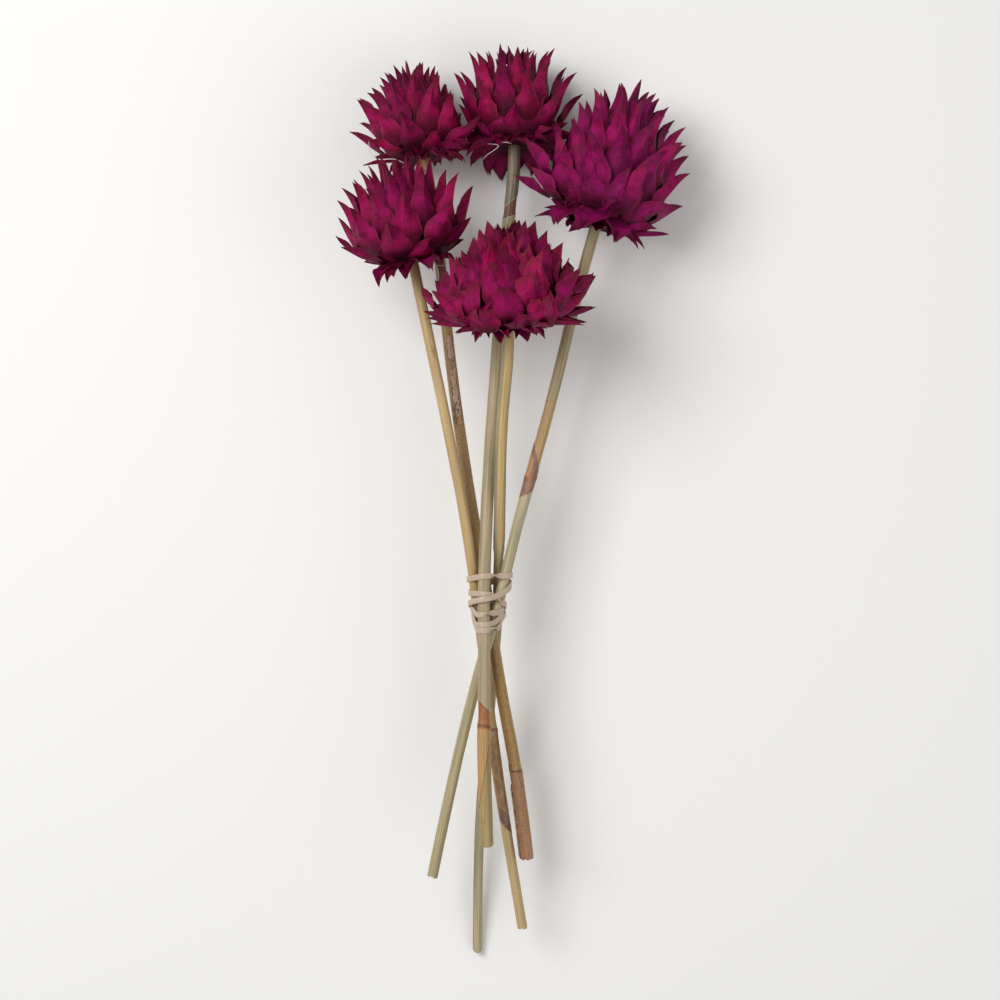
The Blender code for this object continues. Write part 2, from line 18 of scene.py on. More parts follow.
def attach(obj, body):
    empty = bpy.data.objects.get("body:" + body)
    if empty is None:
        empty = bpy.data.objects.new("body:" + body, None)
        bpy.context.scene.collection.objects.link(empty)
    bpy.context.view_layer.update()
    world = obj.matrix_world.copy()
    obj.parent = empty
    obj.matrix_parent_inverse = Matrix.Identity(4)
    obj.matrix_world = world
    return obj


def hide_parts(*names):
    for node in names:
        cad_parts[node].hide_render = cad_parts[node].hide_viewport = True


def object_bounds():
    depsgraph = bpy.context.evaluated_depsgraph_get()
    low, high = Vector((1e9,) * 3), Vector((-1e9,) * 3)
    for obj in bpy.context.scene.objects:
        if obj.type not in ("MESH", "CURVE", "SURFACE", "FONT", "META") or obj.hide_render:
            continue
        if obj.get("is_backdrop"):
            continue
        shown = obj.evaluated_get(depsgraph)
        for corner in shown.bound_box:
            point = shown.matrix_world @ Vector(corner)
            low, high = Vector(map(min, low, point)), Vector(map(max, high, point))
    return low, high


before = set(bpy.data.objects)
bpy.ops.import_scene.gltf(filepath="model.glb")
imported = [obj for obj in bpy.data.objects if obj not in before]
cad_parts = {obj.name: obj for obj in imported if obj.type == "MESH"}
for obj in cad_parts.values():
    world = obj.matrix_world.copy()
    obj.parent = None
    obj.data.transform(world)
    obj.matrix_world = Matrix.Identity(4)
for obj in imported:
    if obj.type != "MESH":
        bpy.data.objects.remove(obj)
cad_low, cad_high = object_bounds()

print("packed nodes:", sorted(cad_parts))

# %% [markdown]
# Lengths below are written in millimetres, as on a maker's drawing, and one function turns
# them to metres. It also moves them by the shift that puts the bunch over the origin.
# Colours are written as sRGB hex, as a colour picker shows them, and another function turns
# them to the linear light that a shader works in.

# %% Units and colours
MM = 0.001
SHIFT = Vector((-1.9, 2.8, 0.0))


def to_metres(point):
    return (Vector(point) + SHIFT) * MM


def linear(hex_code):
    """A linear RGBA colour from an sRGB hex code such as 8a1048."""
    channels = [int(hex_code[i:i + 2], 16) / 255.0 for i in (0, 2, 4)]
    light = [c / 12.92 if c <= 0.04045 else ((c + 0.055) / 1.055) ** 2.4 for c in channels]
    return (*light, 1.0)


def mix(a, b, t):
    return a + (b - a) * t


def ease(low, high, t):
    """Goes from 0 at low to 1 at high, with no corner at either."""
    t = min(max((t - low) / (high - low), 0.0), 1.0)
    return t * t * (3.0 - 2.0 * t)


print("box of the packed model, mm:", [round(v * 1000, 1) for v in (*cad_low, *cad_high)])

# %% [markdown]
# Every node tree here, for shapes and for finishes, is built by one small function. It adds
# a node, sets its options and fills its inputs. An input is filled with a number, with an
# output of another node, or with a whole node, which stands for its first output. The kinds
# of node that come up again and again get a short name.

# %% One function that adds a node
MATH = "ShaderNodeMath"
VECTOR_MATH = "ShaderNodeVectorMath"
COMBINE = "ShaderNodeCombineXYZ"
SEPARATE = "ShaderNodeSeparateXYZ"
RANGE = "ShaderNodeMapRange"
MIX = "ShaderNodeMix"
NOISE = "ShaderNodeTexNoise"
STORE = "GeometryNodeStoreNamedAttribute"
STORED = "GeometryNodeInputNamedAttribute"


def add_node(tree, kind, inputs=None, **settings):
    node = tree.nodes.new(kind)
    for key, value in settings.items():
        setattr(node, key, value)
    for place, value in (inputs or {}).items():
        if isinstance(value, bpy.types.Node):
            value = value.outputs[0]
        if isinstance(value, bpy.types.NodeSocket):
            tree.links.new(value, node.inputs[place])
        else:
            node.inputs[place].default_value = value
    return node


print("one function adds every node, such as", NOISE)

# %% [markdown]
# A material starts from an empty tree, and its colour ramps are filled from lists of places
# and colours. An object is put into the scene at the origin, and one with modifiers is made
# a plain mesh from what Blender evaluates.

# %% Helpers for materials and objects
def new_material(name):
    """A material with an empty node tree."""
    material = bpy.data.materials.new(name)
    material.use_nodes = True
    material.node_tree.nodes.clear()
    return material, material.node_tree


def fill_ramp(ramp, stops):
    """Sets a colour ramp to a list of places and hex colours."""
    elements = ramp.color_ramp.elements
    for element, (position, colour) in zip(elements, (stops[0], stops[-1])):
        element.position = position
        element.color = linear(colour)
    for position, colour in stops[1:-1]:
        elements.new(position).color = linear(colour)


def plain_material(name, colour, roughness):
    """A material of one even colour."""
    material = bpy.data.materials.new(name)
    material.use_nodes = True
    shader = material.node_tree.nodes["Principled BSDF"]
    shader.inputs["Base Color"].default_value = linear(colour)
    shader.inputs["Roughness"].default_value = roughness
    return material


def add_object(name, data):
    thing = bpy.data.objects.new(name, data)
    bpy.context.scene.collection.objects.link(thing)
    return thing


def plain_mesh(thing):
    """The mesh of an object as its modifiers leave it."""
    bpy.context.view_layer.update()
    graph = bpy.context.evaluated_depsgraph_get()
    return bpy.data.meshes.new_from_object(
        thing.evaluated_get(graph), preserve_all_data_layers=True, depsgraph=graph
    )


print("helpers for materials and objects ready")

# %% [markdown]
# What repeats or follows a path is grown by a tree of Geometry Nodes from a simple mesh: a
# line of points, or loose ones. Each point carries named numbers that the tree reads. A tree
# has named sizes, and ends by making its instances real and giving them their finish. The
# result is kept as a plain mesh, so that it needs no tree any more.

# %% Helpers for Geometry Nodes
def new_tree(name, sizes):
    """A Geometry Nodes tree with a geometry in and out, named sizes and a material."""
    tree = bpy.data.node_groups.new(name, "GeometryNodeTree")
    tree.interface.new_socket("Geometry", in_out="INPUT", socket_type="NodeSocketGeometry")
    for size in sizes:
        tree.interface.new_socket(size, in_out="INPUT", socket_type="NodeSocketFloat")
    tree.interface.new_socket("Material", in_out="INPUT", socket_type="NodeSocketMaterial")
    tree.interface.new_socket("Geometry", in_out="OUTPUT", socket_type="NodeSocketGeometry")
    return tree, tree.nodes.new("NodeGroupInput").outputs


def close_tree(tree, geometry, material):
    """Ends a tree in real geometry with its material, smooth all over."""
    real = add_node(tree, "GeometryNodeRealizeInstances", {"Geometry": geometry})
    smooth = add_node(tree, "GeometryNodeSetShadeSmooth", {"Geometry": real})
    painted = add_node(tree, "GeometryNodeSetMaterial", {"Geometry": smooth, "Material": material})
    add_node(tree, "NodeGroupOutput", {"Geometry": painted})


def store_on_points(mesh, name, kind, values):
    """Keeps one value for each point of a mesh, for a tree to read by its name."""
    field = "vector" if kind == "FLOAT_VECTOR" else "value"
    for item, value in zip(mesh.attributes.new(name, kind, "POINT").data, values):
        setattr(item, field, value)


def grow_mesh(name, source, tree, values):
    """Runs a tree on a mesh and returns the result as an object with a plain mesh."""
    seed = add_object(name + "_seed", source)
    growth = seed.modifiers.new("Growth", "NODES")
    growth.node_group = tree
    for item in tree.interface.items_tree:
        if item.in_out == "INPUT" and item.name in values:
            growth[item.identifier] = values[item.name]
    grown = plain_mesh(seed)
    seed.modifiers.remove(growth)
    bpy.data.objects.remove(seed, do_unlink=True)
    grown.name = name
    return add_object(name, grown)


print("helpers for Geometry Nodes ready")

# %% [markdown]
# A dried artichoke bract is a thin, stiff scale. Dye soaks in unevenly: the body keeps a
# clear magenta, and the thin edges and the spine dry to a red brown. The foot that its
# neighbours cover is painted dark as their shade, and a lighter band over the middle of
# each bract is a painted highlight. The surface is nearly matt, with fine veins from foot to tip.
#
# Each bract carries two attributes from the tree that grows it, along (0 at the foot and 1
# at the tip) and across (-1 to 1). The finish reads them, so that its gradients and veins
# follow every bract however it bends.

# %% Finish of the dyed bracts
VEIN_SPACING_MM = 0.7
HALF_BLADE_MM = 8.0
VEIN_RUN = 1.6
BLOTCH_MM = 7.0
CRINKLE_MM = 2.2
FOLD_STRETCH = (0.16, 1.3, 1.0)
CREASE_DEPTH_MM = 0.9
LOTS = 40.0


def dyed_bract(name, gap_shade, deep, body, bright, edge):
    """Dried plant scale soaked in dye: nearly matt, with brown tips and veins, painted shade at its feet and
    a painted highlight over its middle.
    """
    material, tree = new_material(name)
    along = add_node(tree, "ShaderNodeAttribute", attribute_name="along").outputs["Fac"]
    across = add_node(tree, "ShaderNodeAttribute", attribute_name="across").outputs["Fac"]
    tone = add_node(tree, "ShaderNodeAttribute", attribute_name="tone").outputs["Fac"]
    place = add_node(tree, "ShaderNodeTexCoord").outputs["Object"]

    ramp = add_node(tree, "ShaderNodeValToRGB", {"Fac": along})
    # Along the bract, the two darkest stops at the foot are painted shade where neighbours cover it, the
    # bright stop in the middle is a painted highlight, and body and edge are the dye's own colours.
    fill_ramp(ramp, [
        (0.0, gap_shade), (0.10, gap_shade), (0.22, deep), (0.36, body), (0.54, bright), (0.74, body),
        (0.9, edge), (1.0, edge),
    ])
    blotch = add_node(tree, NOISE, {
        "Vector": place, "Scale": 1.0 / (BLOTCH_MM * MM), "Detail": 4.0, "Roughness": 0.6,
    })
    blotch_share = add_node(tree, RANGE, {
        "Value": blotch, "From Min": 0.44, "From Max": 0.62, "To Min": 0.0, "To Max": 0.8,
    })
    # Blotches are real mottling of the dye, in the dark colour that also serves as painted foot shade.
    dyed = add_node(tree, MIX, {
        "Factor": blotch_share, "A": ramp, "B": linear(deep),
    }, data_type="RGBA")

    side = add_node(tree, MATH, {0: across}, operation="ABSOLUTE")
    rim = add_node(tree, RANGE, {
        "Value": side, "From Min": 0.78, "From Max": 1.0, "To Min": 0.0, "To Max": 0.8,
    }, interpolation_type="SMOOTHSTEP")
    edged = add_node(tree, MIX, {
        "Factor": rim, "A": dyed.outputs["Result"], "B": linear(edge),
    }, data_type="RGBA")

    vein_count = add_node(tree, MATH, {
        0: across, 1: HALF_BLADE_MM / VEIN_SPACING_MM,
    }, operation="MULTIPLY")
    vein_run = add_node(tree, MATH, {0: along, 1: VEIN_RUN}, operation="MULTIPLY")
    own_lot = add_node(tree, MATH, {0: tone, 1: LOTS}, operation="MULTIPLY")
    vein_place = add_node(tree, COMBINE, {"X": vein_count, "Y": vein_run, "Z": own_lot})
    veins = add_node(tree, NOISE, {"Vector": vein_place, "Scale": 1.0, "Detail": 2.0})
    vein_shade = add_node(tree, RANGE, {
        "Value": veins, "From Min": 0.3, "From Max": 0.7, "To Min": 0.78, "To Max": 1.18,
    })
    tone_shade = add_node(tree, RANGE, {"Value": tone, "To Min": 0.72, "To Max": 1.22})
    shade = add_node(tree, MATH, {0: vein_shade, 1: tone_shade}, operation="MULTIPLY")
    hue = add_node(tree, RANGE, {"Value": tone, "To Min": 0.491, "To Max": 0.507})
    varied = add_node(tree, "ShaderNodeHueSaturation", {
        "Hue": hue, "Value": shade, "Color": edged.outputs["Result"],
    })

    crinkle = add_node(tree, NOISE, {
        "Vector": place, "Scale": 1.0 / (CRINKLE_MM * MM), "Detail": 5.0, "Roughness": 0.62,
    })
    fold_place = add_node(tree, VECTOR_MATH, {0: vein_place, 1: FOLD_STRETCH}, operation="MULTIPLY")
    folds = add_node(tree, NOISE, {
        "Vector": fold_place, "Scale": 1.0, "Detail": 1.0,
    }, noise_type="RIDGED_MULTIFRACTAL")
    fine = add_node(tree, MATH, {0: veins, 1: 0.35, 2: crinkle}, operation="MULTIPLY_ADD")
    relief = add_node(tree, MATH, {0: folds, 1: 0.6, 2: fine}, operation="MULTIPLY_ADD")
    bump = add_node(tree, "ShaderNodeBump", {
        "Strength": 0.8, "Distance": CREASE_DEPTH_MM * MM, "Height": relief,
    })
    gloss = add_node(tree, RANGE, {
        "Value": crinkle, "From Min": 0.3, "From Max": 0.7,
        "To Min": 0.42, "To Max": 0.68,
    })
    shader = add_node(tree, "ShaderNodeBsdfPrincipled", {
        "Base Color": varied.outputs["Color"], "Roughness": gloss,
        "Normal": bump, "IOR": 1.45, "Specular IOR Level": 0.12,
    })
    add_node(tree, "ShaderNodeOutputMaterial", {"Surface": shader})
    return material


# Each dye is given as painted gap shade, painted foot shade (also the blotch colour), body, painted highlight
# and edge.
MAGENTA_DYE = dyed_bract("dyed_bract_magenta", "48061f", "660a2e", "920a49", "a00d57", "761c36")
DARK_DYE = dyed_bract("dyed_bract_dark_magenta", "40051b", "5e082a", "8a0944", "9a0c51", "701a32")
PURPLE_DYE = dyed_bract("dyed_bract_purple", "480723", "680b37", "900c54", "a01060", "7a1e42")
CHERRY_DYE = dyed_bract("dyed_bract_cherry", "4c0620", "6a0a30", "940b4b", "a4105b", "7e1e38")
print("bract finishes:", MAGENTA_DYE.name, DARK_DYE.name, PURPLE_DYE.name, CHERRY_DYE.name)

# %% [markdown]
# Where the bracts part, the fleshy receptacle shows between them. Its near-black red brown
# with a fine grain is painted shade, standing for the shade of the bracts over it.

# %% Finish of the receptacle
WRINKLE_MM = 1.5
WRINKLE_DEPTH_MM = 0.4


def receptacle_painted_shade(name, colour, dark):
    """Dried flesh of the flower base: matt and wrinkled, its nearly black red painted as the shade of the
    bracts over it.
    """
    material, tree = new_material(name)
    place = add_node(tree, "ShaderNodeTexCoord").outputs["Object"]
    wrinkles = add_node(tree, NOISE, {
        "Vector": place, "Scale": 1.0 / (WRINKLE_MM * MM), "Detail": 4.0,
    })
    mottled = add_node(tree, MIX, {
        "Factor": wrinkles, "A": linear(colour), "B": linear(dark),
    }, data_type="RGBA")
    bump = add_node(tree, "ShaderNodeBump", {
        "Strength": 0.7, "Distance": WRINKLE_DEPTH_MM * MM, "Height": wrinkles,
    })
    shader = add_node(tree, "ShaderNodeBsdfPrincipled", {
        "Base Color": mottled.outputs["Result"], "Normal": bump, "Roughness": 0.8,
        "Specular IOR Level": 0.12,
    })
    add_node(tree, "ShaderNodeOutputMaterial", {"Surface": shader})
    return material


# The receptacle's colours are painted shade for the gaps between the bracts.
RECEPTACLE = receptacle_painted_shade("receptacle_painted_shade", "4c0a24", "2c0616")
print("receptacle finish:", RECEPTACLE.name)

# %% [markdown]
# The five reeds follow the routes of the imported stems, each through a handful of points
# below its head. A head's base lies at its neck, and its axis leans to the right and rises
# from the table by the angles given. The radius of a reed is a table of places along it.

# %% Routes of the reeds
REEDS = {
    "stem_back_left": {
        "radius": [(0, 3), (399, 3.5)],
        "route": [
            (-34.8, 93.3, 39.6), (-18, -22.9, 44), (-12.45, -56, 44.5),
            (-9.95, -74.2, 43.4), (-8.1, -86.5, 42.3), (-3.9, -111.4, 41),
            (3.2, -150.3, 39.5), (9.5, -199.2, 38),
        ],
    },
    "stem_back_middle": {
        "radius": [(0, 3.2), (324.2, 3.2), (333.8, 3.65), (394, 3.65)],
        "route": [
            (-1.1, 151.8, 35.5), (-6.3, 91.5, 42.3), (-13.5, -22.8, 53.6), (-14.3, -55.6, 57),
            (-14.2, -85.5, 60.2), (-14.3, -118.1, 62.8), (-12.6, -188.8, 69),
        ],
    },
    "stem_right": {
        "radius": [(0, 3.15), (376, 2.9)],
        "route": [
            (23, 54.4, 46.2), (9.4, 4.7, 49.3), (2.2, -22.8, 50.5), (-6, -55.7, 51.9),
            (-10.8, -73.3, 52.5), (-14.8, -87.6, 52.9), (-21, -110.6, 53.4), (-42.7, -207.9, 56.5),
        ],
    },
    "stem_front_left": {
        "radius": [(0, 2.95), (380, 2.85)],
        "route": [
            (-45.2, 91.9, 64), (-32.9, 32, 57.9), (-23, -22.8, 52.3), (-18.4, -55.8, 49),
            (-16.1, -73.5, 47.2), (-14.4, -87.9, 45.9), (-11.9, -111.2, 43.4), (-3.3, -175.6, 36),
            (7, -238.7, 29),
        ],
    },
    "stem_front_middle": {
        "radius": [(0, 3.3), (126.7, 3.2), (136.3, 2.6), (366, 2.7)],
        "route": [
            (-3.6, 52, 69.6), (-6, -22.8, 49.5), (-6.8, -50.5, 42.6), (-7.3, -74.5, 37),
            (-8.1, -84, 35), (-10.5, -112.2, 29.4), (-16.1, -169, 18.5), (-17.4, -197.8, 13),
            (-18.2, -256.8, 2.46),
        ],
    },
}
HEAD_PLACES = {
    "head_back_left": {"base": (-47, 187.5, 33.5), "lean": -11, "rise": -5},
    "head_back_middle": {"base": (2.5, 195, 32), "lean": 0.5, "rise": -7},
    "head_right": {"base": (47, 149, 40), "lean": 16.5, "rise": -2},
    "head_front_left": {"base": (-52.4, 127, 67.8), "lean": -11, "rise": 4},
    "head_front_middle": {"base": (-1.5, 92, 80.5), "lean": -2.5, "rise": 14},
}
print("reeds:", len(REEDS), "and heads:", len(HEAD_PLACES))

# %% [markdown]
# A cut reed bends as one smooth line, with no corner at any point. A natural cubic spline
# gives that line, and its length gives each place on the reed a distance from the head.

# %% Smooth line of a reed
SOCKET_REACH = 7.65
NECK_LENGTH = 7.0


def head_axes(head):
    """The head's axis, and two directions across it."""
    lean = math.radians(head["lean"])
    rise = math.radians(head["rise"])
    along = Vector((math.sin(lean) * math.cos(rise), math.cos(lean) * math.cos(rise), math.sin(rise)))
    side = Vector((math.cos(lean), -math.sin(lean), 0.0))
    return along, side, along.cross(side)


def natural_spline(points):
    """A natural cubic curve through the points: its place by distance, and its length."""
    count = len(points)
    knots = [0.0]
    for a, b in zip(points, points[1:]):
        knots.append(knots[-1] + (b - a).length)
    spans = [knots[i + 1] - knots[i] for i in range(count - 1)]
    upper = [0.0] * count
    right = [Vector((0.0, 0.0, 0.0))] * count
    for i in range(1, count - 1):
        pull = 6.0 * ((points[i + 1] - points[i]) / spans[i] - (points[i] - points[i - 1]) / spans[i - 1])
        pivot = 2.0 * (spans[i - 1] + spans[i]) - spans[i - 1] * upper[i - 1]
        upper[i] = spans[i] / pivot
        right[i] = (pull - spans[i - 1] * right[i - 1]) / pivot
    bend = [Vector((0.0, 0.0, 0.0))] * count
    for i in range(count - 2, 0, -1):
        bend[i] = right[i] - upper[i] * bend[i + 1]

    def at(place):
        i = 0
        while i < count - 2 and place > knots[i + 1]:
            i += 1
        span = spans[i]
        a = (knots[i + 1] - place) / span
        b = 1.0 - a
        curve = (a ** 3 - a) * bend[i] + (b ** 3 - b) * bend[i + 1]
        return a * points[i] + b * points[i + 1] + curve * (span * span / 6.0)

    return at, knots[-1]


def reed_route(name):
    """The reed's middle line from inside its head's socket to the cut end."""
    head = HEAD_PLACES[name.replace("stem", "head")]
    along = head_axes(head)[0]
    base = Vector(head["base"])
    points = [base + along * SOCKET_REACH, base - along * NECK_LENGTH]
    points += [Vector(p) for p in REEDS[name]["route"]]
    return natural_spline(points)


ROUTES = {name: reed_route(name) for name in REEDS}
for name, (at, length) in ROUTES.items():
    print(name, "is", round(length), "mm long")

# %% [markdown]
# Joints, sheaths and colours are easiest to read off by how far up the bunch they lie, so
# one function turns that to a place along the reed, by halving.

# %% Places along the reeds
HALVINGS = 24


def reed_radius(name, place):
    """The reed's radius at a place along it, straight between the places of its table."""
    radii = REEDS[name]["radius"]
    for (low, first), (high, second) in zip(radii, radii[1:]):
        if place <= high:
            return mix(first, second, (place - low) / (high - low))
    return radii[-1][1]


def place_at(name, y):
    """How far along a reed it crosses a line across the bunch, both in millimetres."""
    at, length = ROUTES[name]
    low, high = 0.0, length
    for _ in range(HALVINGS):
        middle = 0.5 * (low + high)
        if at(middle).y > y:
            low = middle
        else:
            high = middle
    return low


print("the band crosses the front reed", round(place_at("stem_front_middle", -60.0)), "mm along it")

# %% [markdown]
# A dried reed is straw coloured, with fine fibres along it. Every so often a joint makes a
# ring, a slight swelling with a dark line. A leaf sheath wraps some stretches as a second
# thin skin with a slanted torn edge, often browner than the reed or greener. Other patches
# are only a stain, or a place where the outer skin has peeled, and a few are painted shade:
# under the back middle head, and down the sides of the front middle reed.
#
# So each reed has a list of patches. A patch has a start and an end edge, each at a place
# across the bunch, slanting by so many millimetres towards the side that it faces, and it
# may keep to one side of the reed, given by its middle and half its spread in degrees.

# %% Joints and patches of the reeds
# Facings are in degrees from the right of the bunch over its top, so 180 is its left.
GROWTH = {
    "stem_back_left": {
        "ribs": 0, "joints": [{"at": (-150.7, 0.3, 0), "line": "5c3018"}],
        "cut": {"longer": 1, "slant": 0.6, "ragged": 1.3},
        "patches": [
            {"start": (200, 0, 0), "end": (-40, 0, 0), "side": (25, 40),
             "colour": "ab8b64", "fray": 4},
            {"start": (93, 3, 60), "end": (78, 2, 40), "side": (78, 34),
             "colour": "c6a897", "fray": 5, "rim": "5f4634"},
            {"start": (73, 2, 90), "end": (43.4, 3, 60), "side": (80, 34),
             "colour": "c6a897", "fray": 5.5, "rim": "5f4634"},
            {"start": (52, 0, 0), "end": (38.6, 0, 0), "side": (118, 22),
             "colour": "6b5342", "fray": 12},
            {"start": (-151.5, 0, 0), "end": (-230, 0, 0),
             "colour": "a67a5c", "fray": 0.8, "thick": 0.22},
            {"start": (-145.6, 1, 90), "end": (-150.2, 0, 0), "side": (142, 24),
             "colour": "5f4433", "fray": 0.6, "thick": 0.35},
            {"start": (-159, 6, 90), "end": (-230, 0, 0), "side": (172, 21),
             "colour": "c4a283", "fray": 1.5, "thick": 0.75, "rim": "6b4630"},
        ],
    },
    "stem_back_middle": {
        "ribs": 11,
        "joints": [
            {"at": (156.5, 1.7, 180), "line": "5a3a2c"},
            {"at": (-123.9, 0.5, 0), "line": "5e2c14"},
        ],
        "cut": {"longer": 0.9, "slant": 1.8, "ragged": 0.1},
        "patches": [
            # This sheath's grey brown is darkened by painted shade from the head over it.
            {"start": (230, 0, 0), "end": (164.6, 3.3, 180),
             "colour": "7d6f5c", "fray": 1.2, "thick": 0.28, "rim": "cdbfa0"},
            {"start": (164, 3.3, 180), "end": (157, 1.7, 180),
             "colour": "7a4f3c", "fray": 0.6},
            {"start": (155.9, 1.7, 180), "end": (-113.8, 3.3, 0),
             "colour": "ab9b78", "fray": 2, "thick": 0.3, "rim": "ddd0b0"},
            {"start": (-113.4, 3.3, 0), "end": (-123.6, 0.5, 0),
             "colour": "a05f34", "fray": 0.6, "rim": "7a3c1e"},
            {"start": (-124.3, 0.5, 0), "end": (-150.4, 19, 180),
             "colour": "b48c57", "fray": 0.7, "thick": 0.22, "rim": "8f4a2a", "edge": 4},
            {"start": (-150.4, 19, 180), "end": (-176, 3, 90),
             "colour": "a48d5c", "fray": 2},
            {"start": (-174.2, 0, 0), "end": (-177.4, 0, 0), "side": (122, 20),
             "colour": "a07f5c", "fray": 3},
        ],
    },
    "stem_right": {
        "ribs": 14, "joints": [{"at": (11.3, 0.4, 180), "line": "a8602c"}],
        "cut": {"longer": 0, "slant": 0.8, "ragged": 1.2},
        "patches": [
            {"start": (53.6, 0.4, 0), "end": (52.8, 0.4, 0), "colour": "a87a48", "fray": 0.8},
            {"start": (53, 0.4, 0), "end": (10, 0, 0), "colour": "bf9a68",
             "fray": 2, "edge": 3},
            {"start": (23.7, 6.9, 0), "end": (1.9, 2.7, 180),
             "colour": "8e6551", "fray": 2.6, "thick": 0.24, "rim": "cdb48c"},
            {"start": (19, 6, 0), "end": (11.6, 0.4, 180), "side": (156, 46),
             "colour": "bf9158", "fray": 0.8},
            {"start": (1.5, 2, 90), "end": (-60, 4, 90), "side": (62, 12),
             "colour": "bda893", "fray": 0.8},
        ],
    },
    "stem_front_left": {
        "ribs": 0, "joints": [{"at": (-127, 0.3, 0), "line": "6a4022"}],
        "cut": {"longer": 1, "slant": 0.8, "ragged": 1.1},
        "patches": [
            {"start": (84.5, 1, 90), "end": (78.5, 2, 60), "side": (70, 8),
             "colour": "9a7c52", "fray": 1},
            {"start": (-100, 8, 90), "end": (-126.6, 0, 0), "colour": "a58a58", "fray": 3},
            {"start": (-127.4, 0.3, 0), "end": (-171.5, 3, 0),
             "colour": "896846", "fray": 0.8, "thick": 0.24, "rim": "b5733c"},
            {"start": (-171.7, 3, 0), "end": (-182.4, 3.9, 0),
             "colour": "6f5346", "fray": 0.9, "thick": 0.14, "rim": "b28a5e"},
            {"start": (-182, 0, 0), "end": (-198, 3, 60), "side": (8, 26),
             "colour": "6a5242", "fray": 1.5},
        ],
    },
    "stem_front_middle": {
        "ribs": 16, "joints": [{"at": (-27.6, 0.3, 0)}],
        "cut": {"longer": -0.1, "slant": 2.4, "ragged": 0.1},
        "patches": [
            # These two side stripes are partly the sheath's greyer tone and partly painted shade down the
            # round reed's left and right sides.
            {"start": (130, 0, 0), "end": (-27.4, 0.3, 0), "side": (152, 33),
             "colour": "9a9272", "fray": 0.6},
            {"start": (130, 0, 0), "end": (-27.4, 0.3, 0), "side": (12, 22),
             "colour": "a08c60", "fray": 0.6},
            {"start": (-27.8, 0.3, 0), "end": (-95, 20, 90),
             "colour": "ab9f74", "fray": 4, "edge": 8},
            {"start": (-90, 10, 90), "end": (-270, 0, 0), "side": (168, 30),
             "colour": "988468", "fray": 0.8},
        ],
    },
}


print("patches:", sum(len(g["patches"]) for g in GROWTH.values()))

# %% [markdown]
# One function works out how much a patch covers a point of the reed. The tree that shapes
# the reed and the finish that paints it both call it, so that a sheath's step and its
# colour end on the same line. Dry sheaths tear along their fibres, so noise that is
# stretched along the reed frays their edges.

# %% Where a patch covers the reed
PATCH_EDGE_MM = 0.5
FRAY_SIZE_MM = 1.1
FRAY_STRETCH = 2.5
SIDE_FRAY = 0.15
SIDE_SOFTNESS = 7.0


def towards(tree, angle, facing):
    """1 where the reed's side faces that way, 0 square to it and -1 opposite."""
    turn = add_node(tree, MATH, {0: angle, 1: math.radians(facing)}, operation="SUBTRACT")
    return add_node(tree, MATH, {0: turn}, operation="COSINE")


def slanted_reach(tree, angle, reach, slant, facing):
    """The distance along the reed, less what a slanted line adds to it on each side."""
    return add_node(tree, MATH, {
        0: towards(tree, angle, facing), 1: -slant * MM, 2: reach,
    }, operation="MULTIPLY_ADD")


def joint_distance(tree, name, joint, angle, reach):
    """How far along the reed a point is from the slanted ring of a joint."""
    y, slant, facing = joint["at"]
    away = add_node(tree, MATH, {
        0: slanted_reach(tree, angle, reach, slant, facing), 1: place_at(name, y) * MM,
    }, operation="SUBTRACT")
    return add_node(tree, MATH, {0: away}, operation="ABSOLUTE")


def around_and_along(tree, place):
    """The angle round the reed, and the distance along it, of a place on a reed."""
    split = add_node(tree, SEPARATE, {0: place})
    angle = add_node(tree, MATH, {0: split.outputs["Z"], 1: split.outputs["X"]}, operation="ARCTAN2")
    return angle, split.outputs["Y"]


def patch_cover(tree, name, patch, place, angle, reach):
    """How much a patch covers a point of a reed, from 0 to 1, in a tree of either kind."""
    torn_place = add_node(tree, VECTOR_MATH, {
        0: place, 1: (1.0, 1.0 / FRAY_STRETCH, 1.0),
    }, operation="MULTIPLY")
    torn = add_node(tree, NOISE, {
        "Vector": torn_place, "Scale": 1.0 / (FRAY_SIZE_MM * MM), "Detail": 3.0,
    })
    frayed = add_node(tree, MATH, {
        0: torn, 1: patch["fray"] * MM, 2: reach,
    }, operation="MULTIPLY_ADD")
    width = patch.get("edge", PATCH_EDGE_MM)
    cover = None
    for (y, slant, facing), before, beyond in ((patch["start"], 0.0, 1.0), (patch["end"], 1.0, 0.0)):
        edge = (place_at(name, y) + 0.5 * patch["fray"] - 0.5 * width) * MM
        share = add_node(tree, RANGE, {
            "Value": slanted_reach(tree, angle, frayed, slant, facing),
            "From Min": edge, "From Max": edge + width * MM, "To Min": before, "To Max": beyond,
        })
        if cover:
            share = add_node(tree, MATH, {0: cover, 1: share}, operation="MULTIPLY")
        cover = share
    if "side" in patch:
        facing, spread = patch["side"]
        reached = add_node(tree, MATH, {
            0: torn, 1: SIDE_FRAY * patch["fray"], 2: towards(tree, angle, facing),
        }, operation="MULTIPLY_ADD")
        middle = 0.5 * SIDE_FRAY * patch["fray"]
        share = add_node(tree, RANGE, {
            "Value": reached,
            "From Min": middle + math.cos(math.radians(spread + SIDE_SOFTNESS)),
            "From Max": middle + math.cos(math.radians(max(spread - SIDE_SOFTNESS, 0.0))),
        })
        cover = add_node(tree, MATH, {0: cover, 1: share}, operation="MULTIPLY")
    return cover


print("a patch's edge is", PATCH_EDGE_MM, "mm soft, where it has none of its own")

# %% [markdown]
# The tree sweeps a circle along the route, and then scales each ring of points about the
# middle line: by the reed's girth there, by ribs round it, a swelling at each joint and a
# step where a sheath covers it. Shears cut a reed at a slant and leave small notches, so its
# last stretch is drawn back by a slant and by noise. Each point keeps its place on the reed
# as an attribute: how far it is off the middle line, and how far along.

